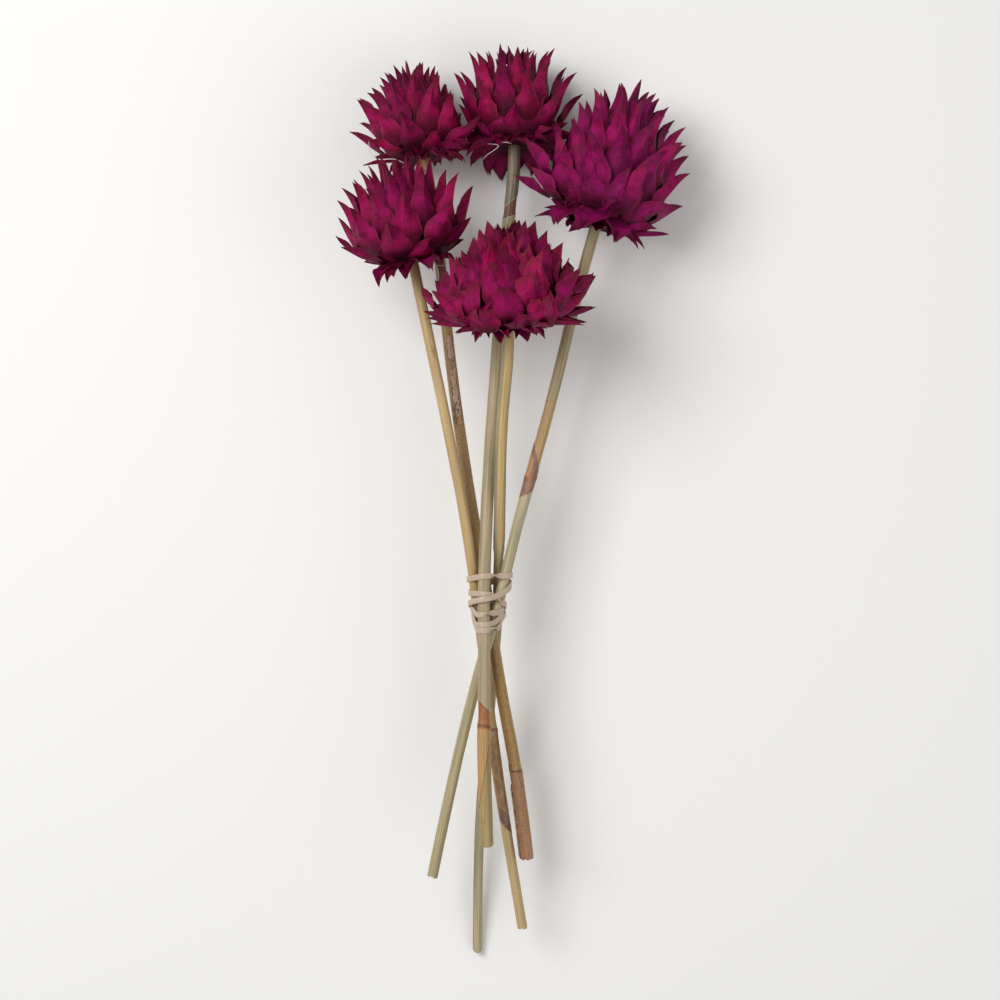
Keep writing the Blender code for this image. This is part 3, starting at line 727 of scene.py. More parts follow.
# %% Relief and cut end of the reeds
JOINT_SWELL = 0.085
JOINT_WIDTH_MM = 3.2
RIB_DEPTH = 0.025
DENTS = (1.0 / (7.0 * MM), 1.0 / (26.0 * MM), 1.0 / (7.0 * MM))
THINNEST = -0.07
THICKEST = 0.05
CUT_REACH_MM = 12.0
NOTCH_SIZE_MM = 1.5
TOP_SIDE = 90.0


def reed_relief(tree, name, here, place, angle, reach, given):
    """How far the skin stands off a plain tube, as a share: ribs, dents, joints, sheaths."""
    growth = GROWTH[name]
    turned = add_node(tree, MATH, {0: angle, 1: float(growth["ribs"])}, operation="MULTIPLY")
    wave = add_node(tree, MATH, {0: turned}, operation="COSINE")
    ribs = add_node(tree, MATH, {0: wave, 1: given["Rib Depth"]}, operation="MULTIPLY")
    uneven_place = add_node(tree, VECTOR_MATH, {0: here, 1: DENTS}, operation="MULTIPLY")
    uneven = add_node(tree, NOISE, {
        "Vector": uneven_place, "W": given["Seed"], "Scale": 1.0, "Detail": 1.0,
    }, noise_dimensions="4D")
    dents = add_node(tree, RANGE, {"Value": uneven, "To Min": THINNEST, "To Max": THICKEST})
    total = add_node(tree, MATH, {0: ribs, 1: dents})

    for joint in growth["joints"]:
        near = joint_distance(tree, name, joint, angle, reach)
        swell = add_node(tree, RANGE, {
            "Value": near, "From Min": 0.0, "From Max": JOINT_WIDTH_MM * MM,
            "To Min": JOINT_SWELL, "To Max": 0.0,
        }, interpolation_type="SMOOTHSTEP")
        total = add_node(tree, MATH, {0: total, 1: swell})
    for patch in growth["patches"]:
        if "thick" in patch:
            total = add_node(tree, MATH, {
                0: patch_cover(tree, name, patch, place, angle, reach),
                1: patch["thick"] / reed_radius(name, 0.0), 2: total,
            }, operation="MULTIPLY_ADD")
    return total


def cut_back(tree, cut, across, angle, reach, given):
    """How far the skin is drawn back along the reed near its cut end."""
    to_end = add_node(tree, MATH, {0: given["Length"], 1: reach}, operation="SUBTRACT")
    end_share = add_node(tree, RANGE, {
        "Value": to_end, "From Min": 0.0, "From Max": CUT_REACH_MM * MM,
        "To Min": 1.0, "To Max": 0.0,
    })
    shreds = add_node(tree, NOISE, {
        "Vector": across, "W": given["Seed"], "Scale": 1.0 / (NOTCH_SIZE_MM * MM), "Detail": 1.0,
    }, noise_dimensions="4D")
    notch = add_node(tree, RANGE, {
        "Value": shreds, "From Min": 0.42, "From Max": 0.66,
        "To Min": cut["slant"] * MM, "To Max": (cut["slant"] + cut["ragged"]) * MM,
    })
    slanted = slanted_reach(tree, angle, notch, cut["slant"], TOP_SIDE)
    pull = add_node(tree, MATH, {0: slanted, 1: end_share}, operation="MULTIPLY")
    heading = add_node(tree, STORED, {"Name": "heading"}, data_type="FLOAT_VECTOR")
    return add_node(tree, VECTOR_MATH, {0: heading, "Scale": pull}, operation="SCALE")


print("ribs stand out by", RIB_DEPTH, "of the radius, and joints by", JOINT_SWELL)

# %% Tree of the reeds
REED_SIDES = 44


def reed_tree(name):
    """A tree that turns a reed's middle line into its ribbed and jointed skin."""
    tree, given = new_tree("reed_" + name, ["Radius", "Rib Depth", "Length", "Seed"])
    curve = add_node(tree, "GeometryNodeMeshToCurve", {"Mesh": given["Geometry"]})
    for key, kind in (("middle", "GeometryNodeInputPosition"), ("heading", "GeometryNodeInputTangent")):
        curve = add_node(tree, STORE, {
            "Geometry": curve, "Name": key, "Value": add_node(tree, kind),
        }, data_type="FLOAT_VECTOR", domain="POINT")
    circle = add_node(tree, "GeometryNodeCurvePrimitiveCircle", {
        "Resolution": REED_SIDES, "Radius": given["Radius"],
    })
    skin = add_node(tree, "GeometryNodeCurveToMesh", {
        "Curve": curve, "Profile Curve": circle, "Fill Caps": True,
    })
    line = add_node(tree, STORED, {"Name": "middle"}, data_type="FLOAT_VECTOR")
    here = add_node(tree, "GeometryNodeInputPosition")
    out = add_node(tree, VECTOR_MATH, {0: here, 1: line}, operation="SUBTRACT")
    across = add_node(tree, VECTOR_MATH, {0: out, 1: (1.0, 0.0, 1.0)}, operation="MULTIPLY")
    run = add_node(tree, COMBINE, {"Y": add_node(tree, STORED, {"Name": "reach"}, data_type="FLOAT")})
    place = add_node(tree, VECTOR_MATH, {0: across, 1: run})
    angle, reach = around_and_along(tree, place)

    total = reed_relief(tree, name, here, place, angle, reach, given)
    scale = add_node(tree, MATH, {0: total, 1: 1.0})
    girth = add_node(tree, STORED, {"Name": "girth"}, data_type="FLOAT")
    scale = add_node(tree, MATH, {0: scale, 1: girth}, operation="MULTIPLY")
    pushed = add_node(tree, VECTOR_MATH, {0: out, "Scale": scale}, operation="SCALE")
    placed = add_node(tree, VECTOR_MATH, {0: line, 1: pushed})

    back = cut_back(tree, GROWTH[name]["cut"], across, angle, reach, given)
    ragged = add_node(tree, VECTOR_MATH, {0: placed, 1: back}, operation="SUBTRACT")

    marked = add_node(tree, STORE, {
        "Geometry": skin, "Name": "reed_place", "Value": place,
    }, data_type="FLOAT_VECTOR", domain="POINT")
    shaped = add_node(tree, "GeometryNodeSetPosition", {"Geometry": marked, "Position": ragged})
    close_tree(tree, shaped, given["Material"])
    return tree


print("a reed has", REED_SIDES, "sides")

# %% [markdown]
# The finish of a reed is painted from its head to its cut end. A colour ramp along the reed
# gives its slow change from straw to grey green, by places across the bunch. Stripes, spots
# and mottle are how much each of them shows, and mottle has a colour of its own.

# %% Colours of the reeds
REED_COLOURS = {
    "stem_back_left": {
        "ramp": [(200, "967c5a"), (60, "9f845f"), (-50, "a48657"), (-140, "ab8955"), (-205, "a87a60")],
        "stripes": 0.12, "spots": 0.6, "mottle": ("c08a42", 0.6),
    },
    "stem_back_middle": {
        "ramp": [(200, "8a7b66"), (150, "9a8c6c"), (0, "a0947a"), (-110, "9f957a"), (-126, "b8925e"),
                 (-160, "ad935f"), (-190, "9f8c60")],
        "stripes": 0.2, "spots": 0.15, "mottle": ("b09468", 0.2),
    },
    "stem_right": {
        "ramp": [(150, "ab9c76"), (55, "ab9c76"), (20, "b3a077"), (0, "b5aa86"), (-100, "b0a47c"),
                 (-205, "aa9c74")],
        "stripes": 0.22, "spots": 0.15, "mottle": ("c0a878", 0.25),
    },
    "stem_front_left": {
        "ramp": [(130, "bb9e70"), (60, "c3a678"), (0, "c1a374"), (-100, "b8995f"), (-170, "a08350"),
                 (-186, "bea576"), (-240, "c1a678")],
        "stripes": 0.1, "spots": 0.2, "mottle": ("caa468", 0.35),
    },
    "stem_front_middle": {
        "ramp": [(100, "c3a46c"), (50, "c8a970"), (-20, "c3a672"), (-30, "b3a676"), (-100, "b4a982"),
                 (-180, "aca480"), (-255, "b8a984")],
        "stripes": 0.2, "spots": 0.12, "mottle": ("c8ac7c", 0.25),
    },
}

print("colours along the reeds:", sum(len(colours["ramp"]) for colours in REED_COLOURS.values()))

# %% [markdown]
# Over the ramp, each patch lays its own colour, some with a paler torn rim, and each joint
# gets its thin dark line. Weather leaves a mottle of a few millimetres and fine dark spots.

# %% Patches, joints and weathering
SPOT_COLOUR = "6e4c34"
MOTTLE_MM = 3.0
MOTTLE_STRETCH = 1.8
JOINT_LINE_MM = 0.9
RIM_FULL = 4.0


def lay_patches(tree, name, place, angle, reach, colour, relief):
    """Lays the colours and torn rims of the patches, and raises the sheaths."""
    for patch in GROWTH[name]["patches"]:
        cover = patch_cover(tree, name, patch, place, angle, reach)
        colour = add_node(tree, MIX, {
            "Factor": cover, "A": colour, "B": linear(patch["colour"]),
        }, data_type="RGBA").outputs["Result"]
        if "rim" in patch:
            bare = add_node(tree, MATH, {0: 1.0, 1: cover}, operation="SUBTRACT")
            rim = add_node(tree, MATH, {0: cover, 1: bare}, operation="MULTIPLY")
            rim = add_node(tree, MATH, {0: rim, 1: RIM_FULL}, operation="MULTIPLY")
            colour = add_node(tree, MIX, {
                "Factor": rim, "A": colour, "B": linear(patch["rim"]),
            }, data_type="RGBA").outputs["Result"]
        if "thick" in patch:
            relief = add_node(tree, MATH, {0: relief, 1: cover})
    return colour, relief


def draw_joints(tree, name, angle, reach, spots, colour):
    """Draws the thin dark line of each joint that has one, broken by the spots."""
    for joint in GROWTH[name]["joints"]:
        if "line" in joint:
            near = joint_distance(tree, name, joint, angle, reach)
            uneven = add_node(tree, MATH, {
                0: spots, 1: 0.8 * JOINT_LINE_MM * MM, 2: near,
            }, operation="MULTIPLY_ADD")
            line = add_node(tree, RANGE, {
                "Value": uneven, "From Min": 0.5 * JOINT_LINE_MM * MM,
                "From Max": 1.3 * JOINT_LINE_MM * MM, "To Min": 0.95, "To Max": 0.0,
            })
            colour = add_node(tree, MIX, {
                "Factor": line, "A": colour, "B": linear(joint["line"]),
            }, data_type="RGBA").outputs["Result"]
    return colour


def weather(tree, colours, place, spots, colour):
    """Mottles the skin and dots it with fine dark spots."""
    mottle_colour, mottle_share = colours["mottle"]
    mottle_place = add_node(tree, VECTOR_MATH, {
        0: place, 1: (1.0, 1.0 / MOTTLE_STRETCH, 1.0),
    }, operation="MULTIPLY")
    mottle = add_node(tree, NOISE, {
        "Vector": mottle_place, "Scale": 1.0 / (MOTTLE_MM * MM), "Detail": 4.0, "Roughness": 0.7,
    })
    mottled = add_node(tree, RANGE, {
        "Value": mottle, "From Min": 0.47, "From Max": 0.64,
        "To Min": 0.0, "To Max": mottle_share,
    })
    colour = add_node(tree, MIX, {
        "Factor": mottled, "A": colour, "B": linear(mottle_colour),
    }, data_type="RGBA").outputs["Result"]
    spot_share = add_node(tree, RANGE, {
        "Value": spots, "From Min": 0.53, "From Max": 0.66,
        "To Min": 0.0, "To Max": colours["spots"],
    })
    return add_node(tree, MIX, {
        "Factor": spot_share, "A": colour, "B": linear(SPOT_COLOUR),
    }, data_type="RGBA").outputs["Result"]


print("a joint's line is", JOINT_LINE_MM, "mm wide")

# %% [markdown]
# Dry cane has a slightly waxy skin over long fibres. Streaks of noise that are stretched
# along the reed give the fibres, in tone and as a fine relief, and wider ones the stripes.

# %% Finish of the reeds
FIBRE_MM = 0.55
STRIPE_MM = 1.5
FIBRE_STRETCH = 45.0
SPOT_MM = 1.0
FIBRE_DEPTH_MM = 0.25


def dry_reed(name):
    """Dry cane: slightly waxy skin, long fibres, weathered spots, sheaths and joints."""
    colours = REED_COLOURS[name]
    length = ROUTES[name][1]
    material, tree = new_material("dry_reed_" + name)
    place = add_node(tree, "ShaderNodeAttribute", attribute_name="reed_place").outputs["Vector"]
    angle, reach = around_and_along(tree, place)
    share = add_node(tree, MATH, {0: reach, 1: length * MM}, operation="DIVIDE")
    ramp = add_node(tree, "ShaderNodeValToRGB", {"Fac": share})
    fill_ramp(ramp, [(place_at(name, y) / length, colour) for y, colour in colours["ramp"]])
    colour = ramp

    fibre_place = add_node(tree, VECTOR_MATH, {
        0: place, 1: (1.0, 1.0 / FIBRE_STRETCH, 1.0),
    }, operation="MULTIPLY")
    fibres = add_node(tree, NOISE, {
        "Vector": fibre_place, "Scale": 1.0 / (FIBRE_MM * MM), "Detail": 3.0,
    })
    fibre_shade = add_node(tree, RANGE, {
        "Value": fibres, "From Min": 0.32, "From Max": 0.68,
        "To Min": 0.82, "To Max": 1.14,
    })
    stripes = add_node(tree, NOISE, {
        "Vector": fibre_place, "Scale": 1.0 / (STRIPE_MM * MM), "Detail": 2.0,
    })
    stripe_shade = add_node(tree, RANGE, {
        "Value": stripes, "From Min": 0.38, "From Max": 0.62,
        "To Min": 1.0 - colours["stripes"], "To Max": 1.0 + 0.5 * colours["stripes"],
    })
    relief = add_node(tree, MATH, {0: fibres, 1: 0.5}, operation="MULTIPLY")
    colour, relief = lay_patches(tree, name, place, angle, reach, colour, relief)
    spots = add_node(tree, NOISE, {
        "Vector": place, "Scale": 1.0 / (SPOT_MM * MM), "Detail": 2.0,
    })
    colour = draw_joints(tree, name, angle, reach, spots, colour)
    colour = weather(tree, colours, place, spots, colour)
    shade = add_node(tree, MATH, {0: fibre_shade, 1: stripe_shade}, operation="MULTIPLY")
    shaded = add_node(tree, "ShaderNodeHueSaturation", {
        "Value": shade, "Color": colour,
    })
    bump = add_node(tree, "ShaderNodeBump", {
        "Strength": 0.5, "Distance": FIBRE_DEPTH_MM * MM, "Height": relief,
    })
    shader = add_node(tree, "ShaderNodeBsdfPrincipled", {
        "Base Color": shaded.outputs["Color"], "Normal": bump,
        "Roughness": 0.48, "IOR": 1.5,
    })
    add_node(tree, "ShaderNodeOutputMaterial", {"Surface": shader})
    return material


DRY_REEDS = {name: dry_reed(name) for name in REEDS}
print("reed finishes:", len(DRY_REEDS))

# %% [markdown]
# Each reed is swept along its own route from a line of points a little over a millimetre
# apart. Its girth is kept on the points, so that a sheath's thicker stretch follows it.

# %% Grow the reeds
REED_ROUND = 0.985
REED_STEP = 1.2


def grow_reed(name):
    """Sweeps one reed along its route."""
    at, whole = ROUTES[name]
    length = whole + GROWTH[name]["cut"]["longer"]
    count = round(length / REED_STEP)
    places = [length * i / count for i in range(count + 1)]
    line = bpy.data.meshes.new(name + "_line")
    line.from_pydata([to_metres(at(p)) for p in places], [(i, i + 1) for i in range(count)], [])
    top = reed_radius(name, 0.0)
    store_on_points(line, "reach", "FLOAT", [p * MM for p in places])
    store_on_points(line, "girth", "FLOAT", [reed_radius(name, p) / top for p in places])
    growth = GROWTH[name]
    return grow_mesh(name.replace("stem", "reed"), line, reed_tree(name), {
        "Radius": top * REED_ROUND * MM,
        "Rib Depth": RIB_DEPTH if growth["ribs"] else 0.0,
        "Length": length * MM, "Seed": float(len(name)), "Material": DRY_REEDS[name],
    })


reeds = {name: grow_reed(name) for name in REEDS}
for name, reed in reeds.items():
    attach(reed, "root")
    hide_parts(name)
    print(reed.name, len(reed.data.polygons), "faces")

# %% [markdown]
# A head is a spiral. Each bract stands a golden angle, 137.5 degrees, round from the last
# one, and their feet climb the egg-shaped receptacle from its base to its top. The bract
# sizes below are for the outermost one, the longest row and the innermost one. The angles
# of a bract's belly and tip go from the outermost to the innermost, and 90 is along the axis.
#
# Dried bracts also come loose from that order. A skirt is a ring of bracts at the base, given
# as their number, length, width and fall below the horizontal. A hanging bract is one more
# of them with its own place, by its turn round the head, length, width and fall. A free bract
# has its own foot and three angles too, where one of them makes the outline in the photograph.

# %% Sizes of the heads
HEADS = {
    "head_back_left": {
        "stem": "stem_back_left", "turn": 20, "core": (24, 12, 33), "count": 50,
        "length": (20, 31, 27), "width": (14, 15, 12.5), "belly": (70, 102),
        "tip": (26, 82), "shape": (0.40, 0.58, 0.86), "inner": (0.40, 0.56, 0.84),
        "cut": 0.04, "seed": 11,
        "skirts": [(10, 20, 13, 28), (9, 15, 8, -34), (7, 11, 7, -66)],
        "hanging": [(300, 15, 6, -60), (325, 18, 6, -50), (345, 16, 6, -42),
                    (332, 27, 12, -8), (318, 26, 11, -24), (182, 30, 4.5, 2)],
        "free": [
            (338, (14.5, 2), 31, 10, (10, 36, 60)),
            (322, (14, 2), 25, 13, (8, 26, 46)),
            (348, (6.7, 1.2), 27, 9, (5, -6, -20)),
            (330, (6.7, 1.2), 22, 8, (0, -35, -66)),
        ],
        "finish": DARK_DYE,
    },
    "head_back_middle": {
        "stem": "stem_back_middle", "turn": 75, "core": (23.5, 14, 38), "count": 50,
        "length": (20, 32, 37), "width": (14, 15, 12.5), "belly": (66, 98),
        "tip": (32, 86), "shape": (0.40, 0.56, 0.80), "inner": (0.36, 0.52, 0.76),
        "cut": 0.02, "seed": 23,
        "skirts": [(10, 20, 13, 26), (10, 19, 9, -60), (8, 12, 7, -38)],
        "hanging": [(226, 20, 11, -42), (318, 20, 10, -66), (340, 24, 11, -44)],
        "free": [
            (140, (6.6, 1.2), 23, 12, (-20, -55, -75)),
            (115, (6.6, 1.2), 23, 13, (-25, -60, -78)),
            (240, (18, 4), 23, 17, (44, 80, 92)),
            (268, (18.5, 3.5), 20, 18, (44, 82, 94)),
            (302, (18, 4), 24, 17, (44, 78, 90)),
            (160, (6.6, 1.2), 24, 12, (-5, -35, -60)),
            (186, (6.6, 1.2), 28, 13, (5, -10, -26)),
            (205, (6.6, 1.2), 25, 12, (5, -25, -50)),
            (178, (12, 2), 30, 14, (5, 25, 50)),
            (78, (6.6, 1.2), 17, 10, (-20, -55, -75)),
            (52, (6.6, 1.2), 25, 12, (-20, -55, -75)),
            (28, (6.6, 1.2), 30, 13, (0, -30, -50)),
            (6, (6.6, 1.2), 27, 13, (5, -15, -34)),
            (344, (10, 1.6), 28, 13, (5, 5, 10)),
        ],
        "finish": DARK_DYE,
    },
    "head_right": {
        "stem": "stem_right", "turn": 130, "core": (31.5, 20, 56), "count": 58,
        "length": (26, 37, 34), "width": (19, 20.5, 16.5), "belly": (70, 102),
        "tip": (26, 80), "shape": (0.42, 0.60, 0.90), "inner": (0.40, 0.56, 0.84),
        "cut": 0.03, "seed": 37,
        "skirts": [(10, 26, 18, 34), (7, 22, 15, 4), (4, 16, 13, -40)],
        "hanging": [(206, 21, 13, -34), (184, 23, 9, -16), (232, 20, 14, -52),
                    (264, 18, 15, -66), (296, 19, 14, -58), (330, 22, 13, -46)],
        "free": [
            (200, (31.5, 17), 31, 17, (22, 44, 66)),
            (186, (29, 9), 24, 13, (5, 18, 34)),
            (188, (30, 32), 24, 13, (50, 66, 78)),
            (208, (28, 8), 26, 17, (10, 40, 66)),
            (218, (30, 10), 30, 20, (40, 66, 82)),
            (258, (28, 8), 28, 21, (44, 78, 88)),
            (284, (28, 8), 30, 21, (44, 76, 86)),
            (184, (9, 1.2), 27, 5, (5, -10, -25)),
            (197, (9, 1.2), 25, 8, (10, 2, -12)),
            (222, (9, 1.2), 15, 8, (0, -40, -70)),
            (318, (9, 1.2), 14, 6, (0, -30, -60)),
            (343, (9, 1.2), 20, 4.5, (5, -20, -45)),
            (350, (9, 1.2), 23, 4.5, (8, -12, -40)),
            (352, (14, 1.5), 30, 6, (0, 22, 30)),
            (264, (23, 9), 19, 18, (-40, -74, -92)),
            (292, (21, 6.5), 20, 16, (-30, -62, -78)),
            (236, (22, 7), 20, 16, (-34, -64, -82)),
        ],
        "finish": PURPLE_DYE,
    },
    "head_front_left": {
        "stem": "stem_front_left", "turn": 10, "core": (27.5, 13, 32), "count": 52,
        "length": (22, 35, 33), "width": (17, 18.5, 13.5), "belly": (74, 100),
        "tip": (36, 86), "shape": (0.44, 0.64, 0.80), "inner": (0.40, 0.58, 0.70),
        "cut": 0.03, "seed": 41,
        "skirts": [(9, 23, 16, 32), (8, 16, 10, -48), (7, 11, 8, -20)],
        "hanging": [(212, 20, 10, -56), (234, 20, 9, -66), (284, 22, 13, -76)],
        "free": [
            (184, (26, 11), 20, 7, (10, 30, 45)),
            (222, (8.2, 1.2), 28, 12, (0, -25, -50)),
            (238, (8.2, 1.2), 24, 12, (0, -30, -55)),
            (258, (8.2, 1.2), 20, 10, (-5, -40, -62)),
        ],
        "finish": MAGENTA_DYE,
    },
    "head_front_middle": {
        "stem": "stem_front_middle", "turn": 40, "core": (34, 12, 38), "count": 72,
        "length": (25, 31, 26), "width": (17, 19, 17), "belly": (70, 112),
        "tip": (44, 104), "shape": (0.50, 0.95, 0.76), "inner": (0.58, 0.98, 0.68),
        "cut": 0.2, "seed": 53,
        "skirts": [(16, 27, 18, 74), (15, 28, 17, 54), (14, 27, 14, 30),
                   (20, 36, 7.5, 9), (11, 16, 8, -35), (9, 10, 7, -65)],
        "hanging": [(255, 15, 9, -76), (290, 15, 11, -74), (325, 16, 8, -60),
                    (222, 16, 8, -60)],
        "free": [
            (248, (30, 3), 24, 18, (40, 84, 102)),
            (319, (30, 3), 25, 18, (40, 82, 100)),
            (182, (22, 4), 26, 9, (0, 18, 38)),
            (358, (22, 4), 29, 9, (-2, 14, 30)),
            (355, (12, 1.5), 34, 7, (-2, 2, 8)),
            (3, (32, 8), 30, 7, (20, 62, 84)),
            (178, (31, 8), 31, 12, (15, 60, 96)),
            (186, (14, 2), 28, 7, (-4, 6, 16)),
        ],
        "finish": CHERRY_DYE,
    },
}
spiral = sum(head["count"] for head in HEADS.values())
low = sum(sum(skirt[0] for skirt in head["skirts"]) for head in HEADS.values())
placed = sum(len(head["hanging"]) + len(head["free"]) for head in HEADS.values())
print("bracts: ", spiral, "in spirals,", low, "in skirts and", placed, "in places of their own")

# %% [markdown]
# The receptacle is a flat-bottomed egg: a quarter of an ellipse up to its waist and one over
# it. A dried bract's foot covers ground in proportion to its width, so feet are spaced by
# area, and closer together where bracts are small.

# %% Where the bracts stand
CORE_BASE = 0.30
CORE_TOP = 0.30
CORE_FINE_ROWS = 40
ROOT_FIRST = 0.02
ROOT_LAST = 0.95
LONGEST = 0.22


def core_outline(head, count):
    """Radius and height of the receptacle from its base edge to its top edge."""
    radius, waist, height = head["core"]
    first = math.asin(CORE_BASE)
    last = math.acos(CORE_TOP)
    points = []
    for i in range(count):
        angle = mix(first, math.pi / 2.0, i / count)
        points.append((radius * math.sin(angle), waist * (1.0 - math.cos(angle) / math.cos(first))))
    for i in range(count + 1):
        angle = mix(0.0, last, i / count)
        points.append((radius * math.cos(angle), waist + (height - waist) * math.sin(angle) / math.sin(last)))
    return points


def three_way(values, u):
    """A size that goes from the outermost bract's to the longest one's to the innermost's."""
    outer, longest, inner = values
    if u < LONGEST:
        return mix(outer, longest, ease(0.0, LONGEST, u))
    return mix(longest, inner, (u - LONGEST) / (1.0 - LONGEST))


def root_places(head, count):
    """Feet over the receptacle, spaced evenly by area and closer where bracts are small."""
    outline = core_outline(head, CORE_FINE_ROWS)
    total = [0.0]
    for (r0, h0), (r1, h1) in zip(outline, outline[1:]):
        size = three_way(head["width"], len(total) / len(outline))
        total.append(total[-1] + math.hypot(r1 - r0, h1 - h0) * (r0 + r1) / size ** 2)
    places = []
    for k in range(count):
        want = mix(ROOT_FIRST, ROOT_LAST, k / (count - 1)) * total[-1]
        i = next(i for i in range(1, len(total)) if total[i] >= want) - 1
        t = (want - total[i]) / (total[i + 1] - total[i])
        (r0, h0), (r1, h1) = outline[i], outline[i + 1]
        slope = math.degrees(math.atan2(h1 - h0, r1 - r0))
        places.append((mix(r0, r1, t), mix(h0, h1, t), slope))
    return places


for name, head in HEADS.items():
    head.update(HEAD_PLACES[name])
    head["axes"] = head_axes(head)
    head["foot"] = Vector(head["base"])
    low, high = root_places(head, head["count"])[::head["count"] - 1]
    print(name, "has feet from", round(low[1], 1), "to", round(high[1], 1), "mm up its axis")

# %% [markdown]
# A bract's middle line is a Bezier curve in the plane through the head's axis, given by
# four points: its foot, two handles and its tip. A full body narrows to a spine at the tip.

# %% Shape of one bract
LEGS = (0.36, 0.34, 0.30)
TIP_SHARE = 0.012
FOOT_SHARE = 0.7
FOOT_REACH = 0.3


def handles(bract):
    """The four points of a bract's middle line, as radius and height in its head."""
    marks = [Vector((bract["root"][0], bract["root"][1], 0.0))]
    for angle, leg in zip(bract["angles"], LEGS):
        turn = math.radians(angle)
        marks.append(marks[-1] + Vector((math.cos(turn), math.sin(turn), 0.0)) * leg * bract["length"])
    return marks


def blade_width(shape, t):
    """Half-width of a bract at t as a share: a full body that narrows to a spine."""
    shoulder, neck, spine = shape
    body = (1.0 - spine) * (1.0 - ease(shoulder, neck, t))
    point = spine * (1.0 - max(0.0, (t - shoulder) / (1.0 - shoulder)))
    foot = mix(FOOT_SHARE, 1.0, ease(0.0, FOOT_REACH, t))
    return max(TIP_SHARE, foot * (body + point))


def bract_place(head, bract, t, x):
    """A point of a bract in the bunch, in millimetres, for testing what it touches."""
    a, b, c, d = handles(bract)
    s = 1.0 - t
    middle = a * s ** 3 + b * 3 * s * s * t + c * 3 * s * t * t + d * t ** 3
    half = 0.5 * bract["width"] * blade_width(bract["shape"], t)
    angle = bract["turn"] + bract["skew"] * t * t + x * half / max(middle.x, 0.5 * bract["width"])
    along, side, cross = head["axes"]
    out = side * math.cos(angle) + cross * math.sin(angle)
    return head["foot"] + out * middle.x + along * middle.y


print("half-width at the middle:", round(blade_width((0.4, 0.6, 0.9), 0.5), 2))

# %% [markdown]
# Before a head is grown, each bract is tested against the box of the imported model, which
# keeps it off the table too, against the reeds, and against a plane halfway to each
# neighbouring head. It is bent inwards, and then made shorter, until it is clear. Free
# bracts may reach past a plane, as a few on the real bunch lie over the next head.

# %% Keep the bracts clear
BEND_STEP = 4.0
ROOT_BEND_SHARE = 0.3
BELLY_STEEPEST = 130.0
TIP_STEEPEST = 150.0
SHRINK = 0.9
SHRINKS = 8
TEST_PLACES = (0.25, 0.42, 0.58, 0.74, 0.87, 1.0)
CLEAR_OF_PLANE = 0.1
CLEAR_OF_STEM = 0.4
CLEAR_OF_BOX = 0.6
STEM_TEST_STEP = 4.0
BOX_LOW = cad_low / MM - SHIFT
BOX_HIGH = cad_high / MM - SHIFT
PLANES = [
    ("head_back_left", "head_back_middle", (-23.7, 208.2, 32.0), (0.90, 0.43, 0.0)),
    ("head_back_middle", "head_right", (28.3, 198.6, 36.7), (0.80, -0.43, 0.42)),
    ("head_front_left", "head_back_left", (-50.0, 179.0, 50.0), (0.05, 0.90, -0.42)),
    ("head_front_left", "head_front_middle", (-28.3, 131.0, 74.9), (0.70, -0.70, 0.10)),
    ("head_front_middle", "head_right", (34.0, 135.0, 62.0), (0.70, 0.35, -0.62)),
    ("head_front_middle", "head_back_middle", (0.0, 170.0, 55.0), (0.0, 0.80, -0.60)),
]
REED_LINES = {}
for name, (at, length) in ROUTES.items():
    count = round(length / STEM_TEST_STEP)
    REED_LINES[name] = [at(length * i / count) for i in range(count + 1)]


def is_clear(name, head, bract):
    """True where the bract is in the box, off the reeds and, if not free, off its neighbours."""
    for t in TEST_PLACES:
        for x in (-1.0, 0.0, 1.0):
            point = bract_place(head, bract, t, x)
            for low, value, high in zip(BOX_LOW, point, BOX_HIGH):
                if not low + CLEAR_OF_BOX < value < high - CLEAR_OF_BOX:
                    return False
            for first, second, place, arrow in PLANES:
                if name in (first, second) and not bract["free"]:
                    sign = 1.0 if name == second else -1.0
                    if sign * (point - Vector(place)).dot(Vector(arrow).normalized()) < CLEAR_OF_PLANE:
                        return False
            for reed, line in REED_LINES.items():
                reach = max(radius for spot, radius in REEDS[reed]["radius"]) + CLEAR_OF_STEM
                if min((point - p).length_squared for p in line) < reach * reach:
                    return False
    return True


def bend_clear(name, head, bract):
    """Bends the bract towards the axis, and then makes it shorter, until it is clear."""
    angles = bract["angles"]
    for _ in range(SHRINKS):
        for step in range(bract["bends"]):
            turn = step * BEND_STEP
            bract["angles"] = (
                angles[0] + ROOT_BEND_SHARE * turn,
                min(angles[1] + turn, max(BELLY_STEEPEST, angles[1])),
                min(angles[2] + turn, max(TIP_STEEPEST, angles[2])),
            )
            if is_clear(name, head, bract):
                return bract
        bract["length"] *= SHRINK
        bract["width"] *= SHRINK
    return None


print("reeds tested at", sum(len(line) for line in REED_LINES.values()), "points")

# %% [markdown]
# No two bracts are alike on the real thing, so a seeded random draw varies each one's length,
# turn, tone and torn tip. Inner bracts hug the ones below them, so how far a bract leans out
# is limited by the slope that it stands on.

# %% Bracts of the spiral
GOLDEN_TURN = 137.50776
ROOT_SUNK = 1.0
ROOT_LIFT = 9.0
ROOT_STEEPEST = 112.0
HUG_SHARE = 0.4
TIP_RISE = 0.7
BENDS = 18
INNER_BENDS = 4
JITTER = 5.0
SPREADS = {
    "length": (0.93, 1.05), "width": (0.92, 1.08), "shape": (0.92, 1.08), "tip": (-2.4, 1.2),
    "turn": (-JITTER, JITTER), "skew": (-0.16, 0.16), "low skew": (-0.25, 0.25),
    "place": (-0.3, 0.3), "size": (0.7, 1.15), "breadth": (0.8, 1.2), "fall": (-16.0, 16.0),
}


def vary(what):
    return random.uniform(*SPREADS[what])


